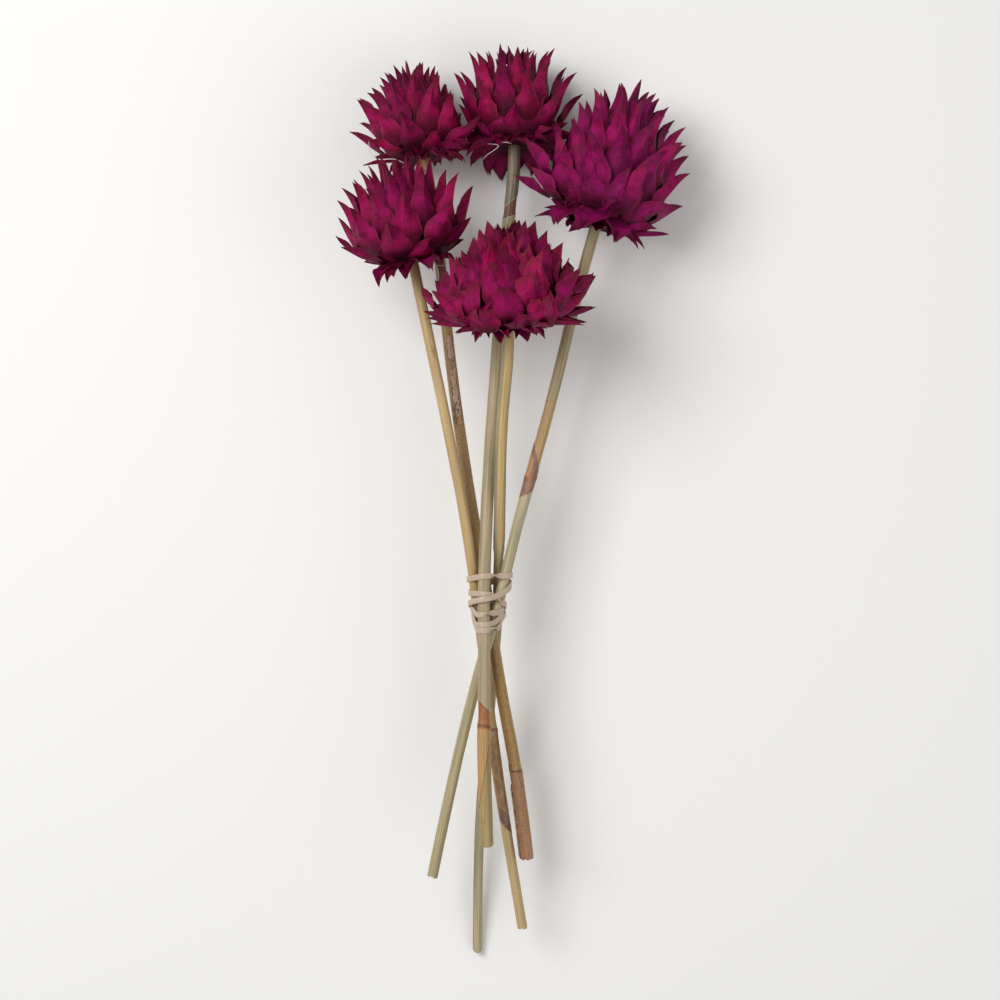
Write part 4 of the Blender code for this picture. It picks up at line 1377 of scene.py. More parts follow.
def spiral_bracts(head):
    """The bracts over the receptacle, from its base to its top."""
    bracts = []
    count = head["count"]
    for k, (radius, height, slope) in enumerate(root_places(head, count)):
        u = k / (count - 1)
        root = math.radians(slope)
        length = three_way(head["length"], u) * vary("length")
        hug = slope + math.degrees(0.5 * length / head["core"][0]) - HUG_SHARE * ROOT_LIFT
        belly = min(mix(*head["belly"], u), hug)
        tip = mix(*head["tip"], u ** TIP_RISE) + vary("tip") * JITTER
        shape = [mix(a, b, u) * vary("shape") for a, b in zip(head["shape"], head["inner"])]
        bracts.append({
            "root": (radius - ROOT_SUNK * math.sin(root), height + ROOT_SUNK * math.cos(root)),
            "angles": (min(slope - ROOT_LIFT, ROOT_STEEPEST), belly, tip),
            "length": length, "width": three_way(head["width"], u) * vary("width"),
            "turn": math.radians(head["turn"] + k * GOLDEN_TURN + vary("turn")),
            "skew": vary("skew"), "bends": BENDS if u < 0.5 else INNER_BENDS,
            "shape": (shape[0], min(shape[1], 0.99), shape[2]),
            "cut": head["cut"] * random.random() ** 2 * 2.0,
            "tone": random.random(), "free": False,
        })
    return bracts


print("sizes vary by chance from", *SPREADS["length"], "times")

# %% [markdown]
# Under the lowest row hang the reflexed bracts of the skirts, which dried curled down or
# straight out, and a small crown of bracts closes the top. Each row of the plan is a turn, a
# foot as radius and height, a length, a width and the three angles of the middle line.

# %% Bracts below the spiral and over it
SKIRT_INSET = 0.5
SKIRT_HEIGHT = 1.2
SKIRT_START = 8.0
SKIRT_BEND = 0.6
CROWN_COUNT = 8
CROWN_ROOT = 0.19
CROWN_SUNK = 2.0
CROWN_SHARE = 0.72
CROWN_ANGLES = (86.0, 92.0, 100.0)
LOW_SHAPE = (0.44, 0.97, 0.72)


def skirt_and_crown(head):
    """The rows of the bracts that stand outside the spiral."""
    fallen = []
    for count, length, width, fall in head["skirts"]:
        start = random.uniform(0.0, 360.0)
        for k in range(count):
            turn = start + (k + vary("place")) * 360.0 / count
            long = length * vary("size")
            wide = width * vary("breadth")
            fallen.append((turn, long, wide, fall + vary("fall")))
    root = (CORE_BASE * head["core"][0] - SKIRT_INSET, SKIRT_HEIGHT)
    rows = []
    for turn, length, width, fall in fallen + head["hanging"]:
        angles = (SKIRT_START, mix(SKIRT_START, fall, SKIRT_BEND), fall)
        rows.append((turn, root, length, width, angles))
    root = (CROWN_ROOT * head["core"][0], head["core"][2] - CROWN_SUNK)
    size = (CROWN_SHARE * head["length"][2], CROWN_SHARE * head["width"][2])
    return rows + [(k * GOLDEN_TURN, root, *size, CROWN_ANGLES) for k in range(CROWN_COUNT)]


def plan_bracts(name, head):
    """Every bract of a head that can be bent clear of what is round it."""
    random.seed(head["seed"])
    bracts = spiral_bracts(head)
    for free, rows in ((False, skirt_and_crown(head)), (True, head["free"])):
        for turn, root, length, width, angles in rows:
            bracts.append({
                "root": root, "angles": angles, "length": length, "width": width,
                "turn": math.radians(turn), "skew": vary("low skew"), "bends": BENDS,
                "shape": LOW_SHAPE, "cut": 0.25 * random.random() ** 2,
                "tone": 0.5 * random.random(), "free": free,
            })
    bent = [bend_clear(name, head, bract) for bract in bracts]
    return [bract for bract in bent if bract]


for name, head in HEADS.items():
    head["bracts"] = plan_bracts(name, head)
    print(name, len(head["bracts"]), "bracts")

# %% [markdown]
# The tree that grows them starts from the plan as loose points, one for each bract, with
# its numbers as attributes. A small grid is placed on every point and made real. Then every
# grid point is moved to its place on its own bract.

# %% Blades on their points
BLADE_COLUMNS = 7
BLADE_ROWS = 13
HANDLES = ("handle_0", "handle_1", "handle_2", "handle_3")
BRACT_NUMBERS = {
    **dict.fromkeys((*HANDLES, "shape"), "FLOAT_VECTOR"),
    **dict.fromkeys(("turn", "skew", "width", "cut", "tone", "lot"), "FLOAT"),
}


def flat_blades(tree, points):
    """A flat blade on every point, made real, that keeps its along and across."""
    blade = add_node(tree, "GeometryNodeMeshGrid", {
        "Size X": 2.0, "Size Y": 1.0, "Vertices X": BLADE_COLUMNS, "Vertices Y": BLADE_ROWS,
    })
    flat = add_node(tree, SEPARATE, {0: add_node(tree, "GeometryNodeInputPosition")})
    raised = add_node(tree, MATH, {0: flat.outputs["Y"], 1: 0.5})
    for key, value in (("across", flat), ("along", raised)):
        blade = add_node(tree, STORE, {
            "Geometry": blade, "Name": key, "Value": value,
        }, data_type="FLOAT", domain="POINT")
    placed = add_node(tree, "GeometryNodeInstanceOnPoints", {"Points": points, "Instance": blade})
    return add_node(tree, "GeometryNodeRealizeInstances", {"Geometry": placed})


def bract_fields(tree):
    """The numbers of each grid point: those of its bract, and its place on the blade."""
    kinds = {**BRACT_NUMBERS, "across": "FLOAT", "along": "FLOAT"}
    return {key: add_node(tree, STORED, {"Name": key}, data_type=kind) for key, kind in kinds.items()}


print("a blade has", BLADE_COLUMNS * BLADE_ROWS, "points and", len(BRACT_NUMBERS), "numbers")

# %% [markdown]
# Mixing four handle points pairwise by t, and the results again, is de Casteljau's way to a
# point on a Bezier curve. The last pair also gives the curve's direction, so the blade can
# be bowed square to it. The tip of a brittle bract breaks off along a wavy line, so t stops
# short of 1 by an amount that changes across the blade.

# %% Middle line of a bract
TEARS_ACROSS = 2.2


def torn_length(tree, own):
    """How far along the middle line each grid point is, with the tip torn off."""
    tear_place = add_node(tree, MATH, {
        0: own["across"], 1: TEARS_ACROSS, 2: own["lot"],
    }, operation="MULTIPLY_ADD")
    tear = add_node(tree, NOISE, {
        "W": tear_place, "Scale": 1.0, "Detail": 1.0,
    }, noise_dimensions="1D")
    tear_share = add_node(tree, RANGE, {
        "Value": tear, "From Min": 0.3, "From Max": 0.7, "To Min": 0.3, "To Max": 1.7,
    })
    lost = add_node(tree, MATH, {0: own["cut"], 1: tear_share}, operation="MULTIPLY")
    left = add_node(tree, MATH, {0: 1.0, 1: lost}, operation="SUBTRACT")
    return add_node(tree, MATH, {0: own["along"], 1: left}, operation="MULTIPLY")


def middle_line(tree, own, t):
    """The point of the middle line at t, as radius and height, and the direction there."""
    marks = [own[key] for key in HANDLES]
    while len(marks) > 1:
        ends = marks
        marks = [
            add_node(tree, MIX, {0: t, 4: a, 5: b}, data_type="VECTOR").outputs[1]
            for a, b in zip(ends, ends[1:])
        ]
    ahead = add_node(tree, VECTOR_MATH, {0: ends[1], 1: ends[0]}, operation="SUBTRACT")
    ahead = add_node(tree, VECTOR_MATH, {0: ahead}, operation="NORMALIZE")
    return add_node(tree, SEPARATE, {0: marks[0]}), add_node(tree, SEPARATE, {0: ahead})


print("a middle line has", len(HANDLES), "handle points")

# %% [markdown]
# The width of the blade follows the same rule as in the test above. Dry edges are frayed,
# so noise in the bract's own coordinates makes them ragged.

# %% Width of a bract
RAGGED_STRETCH = (0.8, 8.0, 1.0)


def width_share(tree, own, t, rag):
    """The share of its half-width that the bract has at t."""
    shoulder, neck, spine = add_node(tree, SEPARATE, {0: own["shape"]}).outputs
    narrow = add_node(tree, RANGE, {
        "Value": t, "From Min": shoulder, "From Max": neck, "To Min": 1.0, "To Max": 0.0,
    }, interpolation_type="SMOOTHSTEP")
    rest = add_node(tree, MATH, {0: 1.0, 1: spine}, operation="SUBTRACT")
    body = add_node(tree, MATH, {0: rest, 1: narrow}, operation="MULTIPLY")
    point = add_node(tree, RANGE, {
        "Value": t, "From Min": shoulder, "From Max": 1.0, "To Min": spine, "To Max": 0.0,
    })
    sides = add_node(tree, MATH, {0: body, 1: point})
    foot = add_node(tree, RANGE, {
        "Value": t, "From Min": 0.0, "From Max": FOOT_REACH, "To Min": FOOT_SHARE, "To Max": 1.0,
    }, interpolation_type="SMOOTHSTEP")
    share = add_node(tree, MATH, {0: sides, 1: foot}, operation="MULTIPLY")
    share = add_node(tree, MATH, {0: share, 1: TIP_SHARE}, operation="MAXIMUM")
    place = add_node(tree, COMBINE, {"X": own["across"], "Y": t, "Z": own["lot"]})
    place = add_node(tree, VECTOR_MATH, {0: place, 1: RAGGED_STRETCH}, operation="MULTIPLY")
    ragged = add_node(tree, NOISE, {"Vector": place, "Scale": 1.0})
    ragged = add_node(tree, MATH, {0: ragged, 1: 0.5}, operation="SUBTRACT")
    ragged = add_node(tree, MATH, {0: ragged, 1: rag, 2: 1.0}, operation="MULTIPLY_ADD")
    return add_node(tree, MATH, {0: share, 1: ragged}, operation="MULTIPLY")


print("edge noise is stretched by", RAGGED_STRETCH)

# %% [markdown]
# A dried bract is bowed like a spoon and creased along its middle, more so towards the tip.
# It shrinks unevenly as it dries, so its surface ripples, and most at its edges.

# %% Relief of a bract
FULL_RIPPLE_HALF = 6.5 * MM
RIPPLE_STRETCH = (1.5, 4.0, 1.0)
CALM_MIDDLE = 0.25


def blade_fold(tree, own, t, share, half, given):
    """How deep the blade is folded below its middle line: a bow and a crease."""
    across = own["across"]
    squared = add_node(tree, MATH, {0: across, 1: across}, operation="MULTIPLY")
    bow = add_node(tree, MATH, {0: share, 1: given["Bow"]}, operation="MULTIPLY")
    sunk = add_node(tree, MATH, {0: squared, 1: bow}, operation="MULTIPLY")
    side = add_node(tree, MATH, {0: across}, operation="ABSOLUTE")
    side = add_node(tree, MATH, {0: side, 1: half}, operation="MULTIPLY")
    steep = add_node(tree, RANGE, {
        "Value": t, "From Min": 0.3, "From Max": 0.8, "To Min": 0.0, "To Max": given["Fold"],
    })
    return squared, add_node(tree, MATH, {0: side, 1: steep, 2: sunk}, operation="MULTIPLY_ADD")


def blade_ripple(tree, own, t, squared, half, given):
    """How far a ripple lifts the blade: less in its middle and on narrow blades."""
    place = add_node(tree, COMBINE, {"X": own["across"], "Y": t, "Z": own["lot"]})
    place = add_node(tree, VECTOR_MATH, {0: place, 1: RIPPLE_STRETCH}, operation="MULTIPLY")
    ripple = add_node(tree, NOISE, {
        "Vector": place, "W": given["Seed"], "Scale": 1.0, "Detail": 1.0,
    }, noise_dimensions="4D")
    ripple = add_node(tree, RANGE, {
        "Value": ripple, "From Min": 0.3, "From Max": 0.7, "To Min": -1.0, "To Max": 1.0,
    })
    fade = add_node(tree, RANGE, {
        "Value": squared, "From Min": 0.0, "From Max": 1.0, "To Min": CALM_MIDDLE, "To Max": 1.0,
    })
    size = add_node(tree, MATH, {0: half, 1: 1.0 / FULL_RIPPLE_HALF}, operation="MULTIPLY")
    size = add_node(tree, MATH, {0: size, 1: 1.0}, operation="MINIMUM")
    for share in (given["Ripple"], fade, size):
        ripple = add_node(tree, MATH, {0: ripple, 1: share}, operation="MULTIPLY")
    return ripple


print("blades over", 2.0 * FULL_RIPPLE_HALF / MM, "mm wide ripple in full")

# %% [markdown]
# Last, the radius and the angle round the axis put each grid point in its place. The blade
# wraps round the head by its width over its radius, and skews a little as it climbs.

# %% Tree of the bracts
def angle_round(tree, own, t, half, full, radius):
    """The angle of a grid point round the head's axis."""
    around = add_node(tree, MATH, {0: radius, 1: full}, operation="MAXIMUM")
    turn = add_node(tree, MATH, {0: half, 1: around}, operation="DIVIDE")
    turn = add_node(tree, MATH, {
        0: turn, 1: own["across"], 2: own["turn"],
    }, operation="MULTIPLY_ADD")
    t_squared = add_node(tree, MATH, {0: t, 1: t}, operation="MULTIPLY")
    return add_node(tree, MATH, {0: t_squared, 1: own["skew"], 2: turn}, operation="MULTIPLY_ADD")


def bract_tree():
    """The tree that turns the plan's points into bowed, torn and rippled blades."""
    tree, given = new_tree("bract_rows", ["Bow", "Fold", "Ripple", "Ragged", "Seed"])
    blades = flat_blades(tree, given["Geometry"])
    own = bract_fields(tree)
    t = torn_length(tree, own)
    spot, ahead = middle_line(tree, own, t)
    share = width_share(tree, own, t, given["Ragged"])
    full = add_node(tree, MATH, {0: own["width"], 1: 0.5}, operation="MULTIPLY")
    half = add_node(tree, MATH, {0: share, 1: full}, operation="MULTIPLY")
    squared, folded = blade_fold(tree, own, t, share, half, given)
    ripple = blade_ripple(tree, own, t, squared, half, given)

    off = add_node(tree, MATH, {0: ripple, 1: folded}, operation="SUBTRACT")
    radius = add_node(tree, MATH, {
        0: off, 1: ahead.outputs["Y"], 2: spot.outputs["X"],
    }, operation="MULTIPLY_ADD")
    drop = add_node(tree, MATH, {0: off, 1: ahead.outputs["X"]}, operation="MULTIPLY")
    height = add_node(tree, MATH, {0: spot.outputs["Y"], 1: drop}, operation="SUBTRACT")
    turn = angle_round(tree, own, t, half, full, spot.outputs["X"])
    cosine = add_node(tree, MATH, {0: turn}, operation="COSINE")
    sine = add_node(tree, MATH, {0: turn}, operation="SINE")
    x = add_node(tree, MATH, {0: radius, 1: cosine}, operation="MULTIPLY")
    y = add_node(tree, MATH, {0: radius, 1: sine}, operation="MULTIPLY")
    position = add_node(tree, COMBINE, {"X": x, "Y": y, "Z": height})
    shaped = add_node(tree, "GeometryNodeSetPosition", {"Geometry": blades, "Position": position})
    close_tree(tree, shaped, given["Material"])
    return tree


BRACTS = bract_tree()
print("the tree of the bracts has", len(BRACTS.nodes), "nodes")

# %% [markdown]
# A bract is a scale of half a millimetre, thinner at its tip and edges. The blades are given
# that thickness by their own place on the bract, and the head is turned into the bunch.

# %% Blades of a head
BRACT_BOW = 1.3
BRACT_FOLD = 1.2
BRACT_RIPPLE = 1.0
BRACT_RAGGED = 0.45
BRACT_THICK = 0.55
TIP_THIN = 0.35
EDGE_THIN = 0.45
LOT_STEP = 3.7
SHARP_EDGE = 60.0


def head_matrix(head):
    """Turns the head's own frame, with its axis up, into its place in the bunch."""
    along, side, cross = head["axes"]
    turn = Matrix((side, cross, along)).transposed().to_4x4()
    return Matrix.Translation(to_metres(head["foot"])) @ turn


def bract_points(name, bracts):
    """The plan of a head as loose points that carry the numbers of its bracts."""
    plan = bpy.data.meshes.new(name + "_plan")
    plan.from_pydata([(0.0, 0.0, 0.0)] * len(bracts), [], [])
    numbers = {key: [bract[key] for bract in bracts] for key in ("shape", "turn", "skew", "cut", "tone")}
    numbers["width"] = [bract["width"] * MM for bract in bracts]
    numbers["lot"] = [i * LOT_STEP for i in range(len(bracts))]
    for key, marks in zip(HANDLES, zip(*(handles(bract) for bract in bracts))):
        numbers[key] = [mark * MM for mark in marks]
    for key, kind in BRACT_NUMBERS.items():
        store_on_points(plan, key, kind, numbers[key])
    return plan


def grow_head(name, head):
    """All the bracts of a head as one mesh of thin walls."""
    piece = grow_mesh(name.replace("head", "bracts"), bract_points(name, head["bracts"]), BRACTS, {
        "Bow": BRACT_BOW * MM, "Fold": BRACT_FOLD, "Ripple": BRACT_RIPPLE * MM,
        "Ragged": BRACT_RAGGED, "Seed": float(head["seed"]), "Material": head["finish"],
    })
    for key in BRACT_NUMBERS:
        if key != "tone":
            piece.data.attributes.remove(piece.data.attributes[key])
    along = [item.value for item in piece.data.attributes["along"].data]
    across = [item.value for item in piece.data.attributes["across"].data]
    body = piece.vertex_groups.new(name="body")
    for i, (t, x) in enumerate(zip(along, across)):
        thin = mix(1.0, TIP_THIN, ease(0.5, 1.0, t)) * (1.0 - EDGE_THIN * x * x)
        body.add([i], thin, "REPLACE")
    wall = piece.modifiers.new("Wall", "SOLIDIFY")
    wall.thickness = BRACT_THICK * MM
    wall.offset = -1.0
    wall.vertex_group = body.name
    thick = plain_mesh(piece)
    piece.modifiers.remove(wall)
    piece.data = thick
    thick.name = piece.name
    thick.transform(head_matrix(head))
    thick.set_sharp_from_angle(angle=math.radians(SHARP_EDGE))
    return piece


print("a bract is", BRACT_THICK, "mm thick, and", round(BRACT_THICK * TIP_THIN, 2), "at its tip")

# %% [markdown]
# The receptacle grew round its reed, so it is turned about the head's axis with a plain hole
# for it. It is a little smaller than the egg that the bracts' feet stand on, to stay hidden.

# %% Grow the heads
CORE_SIDES = 48
CORE_ROWS = 12
CORE_SHRINK = 0.86
CORE_RISE = 1.0
CORE_CAP = 0.4
HOLE_SPARE = 0.2


def grow_receptacle(name, head):
    """The flower's base, turned round the head's axis with a plain hole for its reed."""
    outline = [(r * CORE_SHRINK, h * CORE_SHRINK + CORE_RISE) for r, h in core_outline(head, CORE_ROWS)]
    hole = reed_radius(head["stem"], 0.0) + HOLE_SPARE
    top = (0.0, outline[-1][1] + CORE_CAP)
    shape = bmesh.new()
    rings = []
    for radius, height in [(hole, SOCKET_REACH), (hole, CORE_RISE), *outline, top]:
        ring = []
        for j in range(CORE_SIDES):
            angle = 2.0 * math.pi * j / CORE_SIDES
            place = Vector((radius * math.cos(angle), radius * math.sin(angle), height)) * MM
            ring.append(shape.verts.new(place))
        rings.append(ring)
    for low, high in zip(rings, rings[1:]):
        for j in range(CORE_SIDES):
            k = (j + 1) % CORE_SIDES
            shape.faces.new((low[j], low[k], high[k], high[j]))
    shape.faces.new(rings[0])
    bmesh.ops.remove_doubles(shape, verts=shape.verts, dist=0.01 * MM)
    bmesh.ops.recalc_face_normals(shape, faces=shape.faces)
    mesh = bpy.data.meshes.new(name.replace("head", "receptacle"))
    shape.to_mesh(mesh)
    shape.free()
    mesh.transform(head_matrix(head))
    mesh.shade_smooth()
    mesh.materials.append(RECEPTACLE)
    return add_object(mesh.name, mesh)


for name, head in HEADS.items():
    bracts = grow_head(name, head)
    receptacle = grow_receptacle(name, head)
    for piece in (bracts, receptacle):
        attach(piece, "root")
    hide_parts(name)
    print(bracts.name, len(bracts.data.polygons), "faces")

# %% [markdown]
# The rubber band is one flat loop of natural rubber. Stretched rubber is smooth and satin,
# with faint clouds in its colour, and lets a little light in.

# %% Finish of the rubber band
CLOUD_MM = 4.0
GRAIN_MM = 0.35
GRAIN_DEPTH_MM = 0.06


def natural_rubber(name):
    """Stretched natural rubber: smooth, satin, pinkish beige, and a little translucent."""
    material, tree = new_material(name)
    place = add_node(tree, "ShaderNodeTexCoord").outputs["Object"]
    clouds = add_node(tree, NOISE, {
        "Vector": place, "Scale": 1.0 / (CLOUD_MM * MM), "Detail": 3.0,
    })
    tinted = add_node(tree, MIX, {
        "Factor": clouds, "A": linear("c9b59e"), "B": linear("b6a28b"),
    }, data_type="RGBA")
    grain = add_node(tree, NOISE, {
        "Vector": place, "Scale": 1.0 / (GRAIN_MM * MM), "Detail": 2.0,
    })
    bump = add_node(tree, "ShaderNodeBump", {
        "Strength": 0.25, "Distance": GRAIN_DEPTH_MM * MM, "Height": grain,
    })
    shader = add_node(tree, "ShaderNodeBsdfPrincipled", {
        "Base Color": tinted.outputs["Result"], "Normal": bump,
        "Roughness": 0.42, "IOR": 1.52, "Subsurface Weight": 0.08,
        "Subsurface Radius": (1.0, 0.5, 0.3), "Subsurface Scale": 0.5 * MM,
    })
    add_node(tree, "ShaderNodeOutputMaterial", {"Surface": shader})
    return material


RUBBER = natural_rubber("natural_rubber_band")
print("band finish:", RUBBER.name)

# %% [markdown]
# The loop is stretched over the reeds in six turns and led back over its own turns. Rubber
# under tension lies flat where it bears on a reed and runs straight between two, and where
# it was twisted in winding it shows its edge.
#
# The path is given by a few marks: the angle past the left side of the bundle, going over
# the top, the place across the bunch, how far it rides above the reeds, and how many half
# twists it has had. Between the marks a cubic leads it smoothly.

# %% Path of the rubber band
BAND_MARKS = [
    [(0, -44.5, 0, 0), (55, -43, 0, 0), (86, -42.3, 0, 0), (142, -42.4, 0.2, 1),
     (180, -42.1, 0, 1), (270, -46.6, 0, 1)],
    [(0, -51.6, 0, 1), (80, -52.3, 0, 1), (108, -53.6, 0.1, 1), (140, -57.2, 0.7, 2),
     (180, -59.3, 1, 2), (270, -60.4, 0.9, 2)],
    [(0, -60.3, 0.1, 2), (53, -63.2, 0, 2), (74, -63.6, 0.1, 2), (104, -62.6, 0.4, 3),
     (130, -62.4, 0, 3), (180, -59.3, 0, 3), (270, -62.2, 0, 3)],
    [(0, -64, 0, 3), (53, -68.8, 0.2, 3), (108, -68, 0, 3), (146, -64, 0.3, 3),
     (180, -62.2, 0.1, 3), (270, -65, 0, 3)],
    [(0, -66.8, 0, 3), (55, -71.5, 0, 3), (84, -72.2, 0, 3), (106, -71, 0.4, 3.4),
     (126, -71.2, 0.3, 4), (180, -66.2, 0.6, 4), (270, -62, 1.5, 4)],
    [(0, -57.9, 1.1, 4), (121, -53, 1.1, 4), (162, -48.4, 0.8, 4), (180, -46, 0.7, 4),
     (270, -45.2, 1, 4)],
]


def band_state(marks, turn):
    """Place, height and half twists at a number of turns, by a cubic through the marks."""
    index = max(i for i in range(1, len(marks) - 2) if marks[i][0] <= turn)
    before, start, end, after = (Vector(mark) for mark in marks[index - 1:index + 3])
    span = end[0] - start[0]
    t = (turn - start[0]) / span
    leaving = (end - before) * span / (end[0] - before[0])
    arriving = (after - start) * span / (after[0] - start[0])
    smooth = (start * (2 * t ** 3 - 3 * t ** 2 + 1) + leaving * (t ** 3 - 2 * t ** 2 + t)
              + end * (3 * t ** 2 - 2 * t ** 3) + arriving * (t ** 3 - t ** 2))
    return smooth[1], max(smooth[2], 0.0), mix(start[3], end[3], ease(0.0, 1.0, t))


print("the band has", sum(len(row) for row in BAND_MARKS), "marks in", len(BAND_MARKS), "turns")

# %% [markdown]
# At one place across the bunch, the tight loop round the reeds is the outline of what all
# five reach in each direction. The band rides on it, at half its own thickness.

# %% Tight loop round the reeds
HULL_STEPS = 90


def bundle_hull(y, spare):
    """The tight loop round the five reeds at one place: points in x and z, and its middle."""
    circles = []
    for name, (at, length) in ROUTES.items():
        place = place_at(name, y)
        centre = at(place)
        circles.append((Vector((centre.x, centre.z)), reed_radius(name, place) + spare))
    hull = []
    for i in range(HULL_STEPS):
        angle = 2.0 * math.pi * i / HULL_STEPS
        facing = Vector((math.cos(angle), math.sin(angle)))
        centre, reach = max(circles, key=lambda circle: circle[0].dot(facing) + circle[1])
        hull.append(centre + facing * reach)
    middle = sum((centre for centre, reach in circles), Vector((0.0, 0.0))) / len(circles)
    return hull, middle


def cross_of(a, b):
    return a.x * b.y - a.y * b.x


def hull_point(y, spare, angle):
    """Where a ray from the bundle's middle crosses the loop, and which way the loop faces."""
    hull, middle = bundle_hull(y, spare)
    ray = Vector((math.cos(angle), math.sin(angle)))
    for a, b in zip(hull, hull[1:] + hull[:1]):
        first, second = cross_of(ray, a - middle), cross_of(ray, b - middle)
        if first <= 0.0 < second and ray.dot(a - middle) > 0.0:
            crossing = a + (b - a) * (first / (first - second))
            edge = (b - a).normalized()
            return crossing, Vector((edge.y, -edge.x))
    raise ValueError("the ray misses the bundle")


print("the loop has", HULL_STEPS, "points, and the reeds' middle is",
      round(bundle_hull(-60.0, 0.0)[1].y, 1), "mm up")

# %% Middle line of the rubber band
BAND_THICK = 0.9
BAND_GAP = 0.15
TURN_STEPS = 72


def band_line():
    """The band's middle line as a closed mesh edge, with its outward side and its twist."""
    turns = len(BAND_MARKS)
    marks = [(turn + angle / 360.0, *rest) for turn, row in enumerate(BAND_MARKS) for angle, *rest in row]
    whole = marks[-1][3]
    first = [(m[0] - turns, m[1], m[2], m[3] - whole) for m in marks[-2:]]
    last = [(m[0] + turns, m[1], m[2], m[3] + whole) for m in marks[:3]]
    marks = first + marks + last
    count = turns * TURN_STEPS
    points = []
    outward = []
    twist = []
    for i in range(count):
        turn = i / TURN_STEPS
        y, lift, half_twists = band_state(marks, turn)
        angle = math.pi * (1.0 - 2.0 * (turn % 1.0))
        place, side = hull_point(y, BAND_GAP + 0.5 * BAND_THICK + lift, angle)
        points.append(to_metres((place.x, y, place.y)))
        outward.append((side.x, 0.0, side.y))
        twist.append(half_twists * math.pi)
    line = bpy.data.meshes.new("band_line")
    line.from_pydata(points, [(i, (i + 1) % count) for i in range(count)], [])
    store_on_points(line, "outward", "FLOAT_VECTOR", outward)
    store_on_points(line, "twist", "FLOAT", twist)
    return line


print("the band is swept through", len(BAND_MARKS) * TURN_STEPS, "points")

# %% [markdown]
# The tree of the band makes the line a curve, points its normals out of the bundle, turns
# them by the twist, and sweeps a flat rounded section along it.

# %% Tree of the rubber band
BAND_WIDTH = 3.2
BAND_EDGE = 0.3


def band_tree():
    tree, given = new_tree("stretched_band", ["Width", "Thickness", "Edge Radius"])
    curve = add_node(tree, "GeometryNodeMeshToCurve", {"Mesh": given["Geometry"]})
    outward = add_node(tree, STORED, {"Name": "outward"}, data_type="FLOAT_VECTOR")
    twist = add_node(tree, STORED, {"Name": "twist"}, data_type="FLOAT")
    faced = add_node(tree, "GeometryNodeSetCurveNormal", {"Curve": curve, "Normal": outward}, mode="FREE")
    tilted = add_node(tree, "GeometryNodeSetCurveTilt", {"Curve": faced, "Tilt": twist})
    flat = add_node(tree, "GeometryNodeCurvePrimitiveQuadrilateral", {
        "Width": given["Thickness"], "Height": given["Width"],
    })
    rounded = add_node(tree, "GeometryNodeFilletCurve", {
        "Curve": flat, "Count": 2, "Radius": given["Edge Radius"],
    }, mode="POLY")
    skin = add_node(tree, "GeometryNodeCurveToMesh", {"Curve": tilted, "Profile Curve": rounded})
    close_tree(tree, skin, given["Material"])
    return tree


band = grow_mesh("stretched_band", band_line(), band_tree(), {
    "Width": BAND_WIDTH * MM, "Thickness": BAND_THICK * MM, "Edge Radius": BAND_EDGE * MM,
    "Material": RUBBER,
})
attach(band, "root")
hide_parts("rubber_band")
print("the band has", len(band.data.polygons), "faces in", len(BAND_MARKS), "turns")

# %% [markdown]
# A few loose pale fibres hang about the bunch: a torn strip under the left head, a curled
# one below the front left head, shreds at the foot of the back one, and stiff hairs beside
# a joint. Each is a line through a few marks, swept with a small round section.

# %% Loose fibres
FIBRES = [
    (0.6, [(-77.6, 196.4, 49.8), (-75.7, 188.0, 55.0), (-70.5, 185.4, 59.0), (-63.2, 185.4, 60.5),
           (-56.6, 182.3, 59.8)]),
    (0.5, [(-49.8, 128.2, 73.0), (-44.8, 130.2, 75.0), (-41.5, 128.2, 76.0), (-39.4, 124.2, 76.0),
           (-38.8, 119.9, 75.0), (-39.7, 116.4, 73.0)]),
    (0.45, [(-40.4, 126.4, 76.0), (-37.0, 126.0, 75.0), (-34.6, 126.2, 74.0)]),
    (0.4, [(-12.3, 195.2, 48.7), (-6.4, 193.4, 52.0), (-8.6, 191.6, 51.0), (-13.3, 188.6, 48.0),
           (-16.5, 184.9, 45.0)]),
    (0.45, [(-4.4, 195.8, 50.3), (-1.6, 195.6, 52.3), (0.7, 195.0, 50.6)]),
    (0.4, [(-12.6, -128.9, 60.0), (-11.0, -128.4, 59.6), (-9.9, -128.2, 58.8), (-8.6, -127.9, 57.5)]),
    (0.4, [(-12.6, -130.6, 60.0), (-11.0, -130.9, 60.0), (-9.8, -129.6, 59.0), (-8.7, -128.5, 57.8)]),
    (0.4, [(-12.6, -132.6, 60.0), (-11.2, -132.8, 59.6), (-10.6, -131.8, 58.8), (-10.0, -131.4, 58.0)]),
]
FIBRE_STEPS = 24
FIBRE_SIDES = 6
END_SHARE = 0.4


def fibre_lines():
    """Every fibre as a chain of mesh edges with its thickness, less at both ends."""
    points = []
    edges = []
    girths = []
    for thickness, marks in FIBRES:
        at, length = natural_spline([Vector(mark) for mark in marks])
        for i in range(FIBRE_STEPS + 1):
            if i:
                edges.append((len(points) - 1, len(points)))
            share = i / FIBRE_STEPS
            points.append(to_metres(at(length * share)))
            girths.append(thickness * mix(END_SHARE, 1.0, math.sin(math.pi * share)))
    lines = bpy.data.meshes.new("fibre_lines")
    lines.from_pydata(points, edges, [])
    store_on_points(lines, "girth", "FLOAT", girths)
    return lines


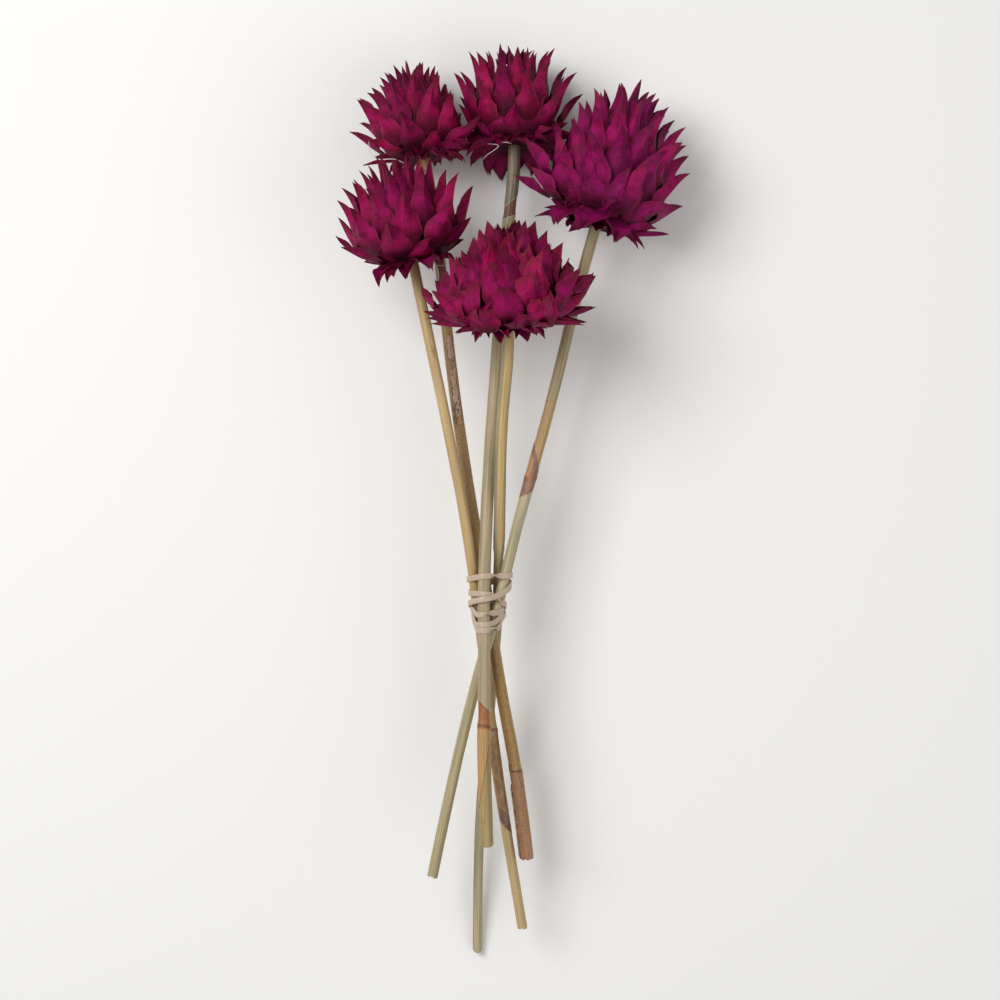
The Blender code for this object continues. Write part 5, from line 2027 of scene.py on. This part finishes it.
def fibre_tree():
    tree, given = new_tree("loose_fibres", ["Unit Radius"])
    curve = add_node(tree, "GeometryNodeMeshToCurve", {"Mesh": given["Geometry"]})
    girth = add_node(tree, STORED, {"Name": "girth"}, data_type="FLOAT")
    section = add_node(tree, "GeometryNodeCurvePrimitiveCircle", {
        "Resolution": FIBRE_SIDES, "Radius": given["Unit Radius"],
    })
    skin = add_node(tree, "GeometryNodeCurveToMesh", {
        "Curve": curve, "Profile Curve": section, "Scale": girth, "Fill Caps": True,
    })
    close_tree(tree, skin, given["Material"])
    return tree


# Dry undyed plant fibre: pale, matt and a little lilac from the dye.
PALE_FIBRE = plain_material("pale_plant_fibre", "d8cfce", 0.6)
fibres = grow_mesh("loose_fibres", fibre_lines(), fibre_tree(), {
    "Unit Radius": 0.5 * MM, "Material": PALE_FIBRE,
})
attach(fibres, "root")
print("loose fibres:", len(FIBRES), "with", len(fibres.data.polygons), "faces")

# %% [markdown]
# The photograph shows the bunch against white under soft, even light from the camera's
# side. Here it lies on a white table, a large soft light hangs over it and a little towards
# the heads and the left, and a weaker one fills in from the right.

# %% Table and lights
TABLE_REACH = 3.0
TABLE_TOP = -0.0003
ROOM_LIGHT = 0.36

# A table painted matt white: bright, with no reflection of the lights.
MATT_WHITE = plain_material("matt_white_table", "f6f5f3", 0.9)


def add_table():
    mesh = bpy.data.meshes.new("table")
    reach = TABLE_REACH
    corners = [(-reach, -reach), (reach, -reach), (reach, reach), (-reach, reach)]
    mesh.from_pydata([(x, y, TABLE_TOP) for x, y in corners], [], [(0, 1, 2, 3)])
    mesh.materials.append(MATT_WHITE)
    add_object("table", mesh)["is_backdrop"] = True


def add_soft_light(name, place, size, power):
    """A square soft light that faces the middle of the bunch."""
    light = bpy.data.lights.new(name, "AREA")
    light.size = size
    light.energy = power
    lamp = add_object(name, light)
    lamp.location = place
    lamp.rotation_euler = (-Vector(place)).to_track_quat("-Z", "Y").to_euler()


add_table()
add_soft_light("key_light", (-0.8, 0.5, 1.4), 0.9, 18.0)
add_soft_light("fill_light", (0.9, -0.5, 1.2), 1.2, 5.0)
world = bpy.data.worlds.new("soft_room")
world.use_nodes = True
background = world.node_tree.nodes["Background"]
background.inputs["Color"].default_value = linear("ffffff")
background.inputs["Strength"].default_value = ROOM_LIGHT
bpy.context.scene.world = world
print("lights ready")

# %% [markdown]
# The camera looks straight down on the laid bunch, from so far that its field of view is
# 55 cm at the height of the reeds. A long lens keeps the heads' proportions as the
# photograph has them.

# %% Camera
CAMERA_PLACE = (-5.5, -0.8, 1650.0)
VIEW_WIDTH = 550.0
REED_HEIGHT = 50.0
SENSOR = 36.0

bpy.context.scene.view_settings.view_transform = "Standard"
camera = add_object("camera", bpy.data.cameras.new("camera"))
camera.data.sensor_width = SENSOR
camera.data.lens = SENSOR * (CAMERA_PLACE[2] - REED_HEIGHT) / VIEW_WIDTH
camera.location = to_metres(CAMERA_PLACE)
bpy.context.scene.camera = camera
print("lens:", round(camera.data.lens, 1), "mm")

# %% Print the visual box and finish
low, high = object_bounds()
print("visual box, mm:", [round(v * 1000, 1) for v in (*low, *high)])
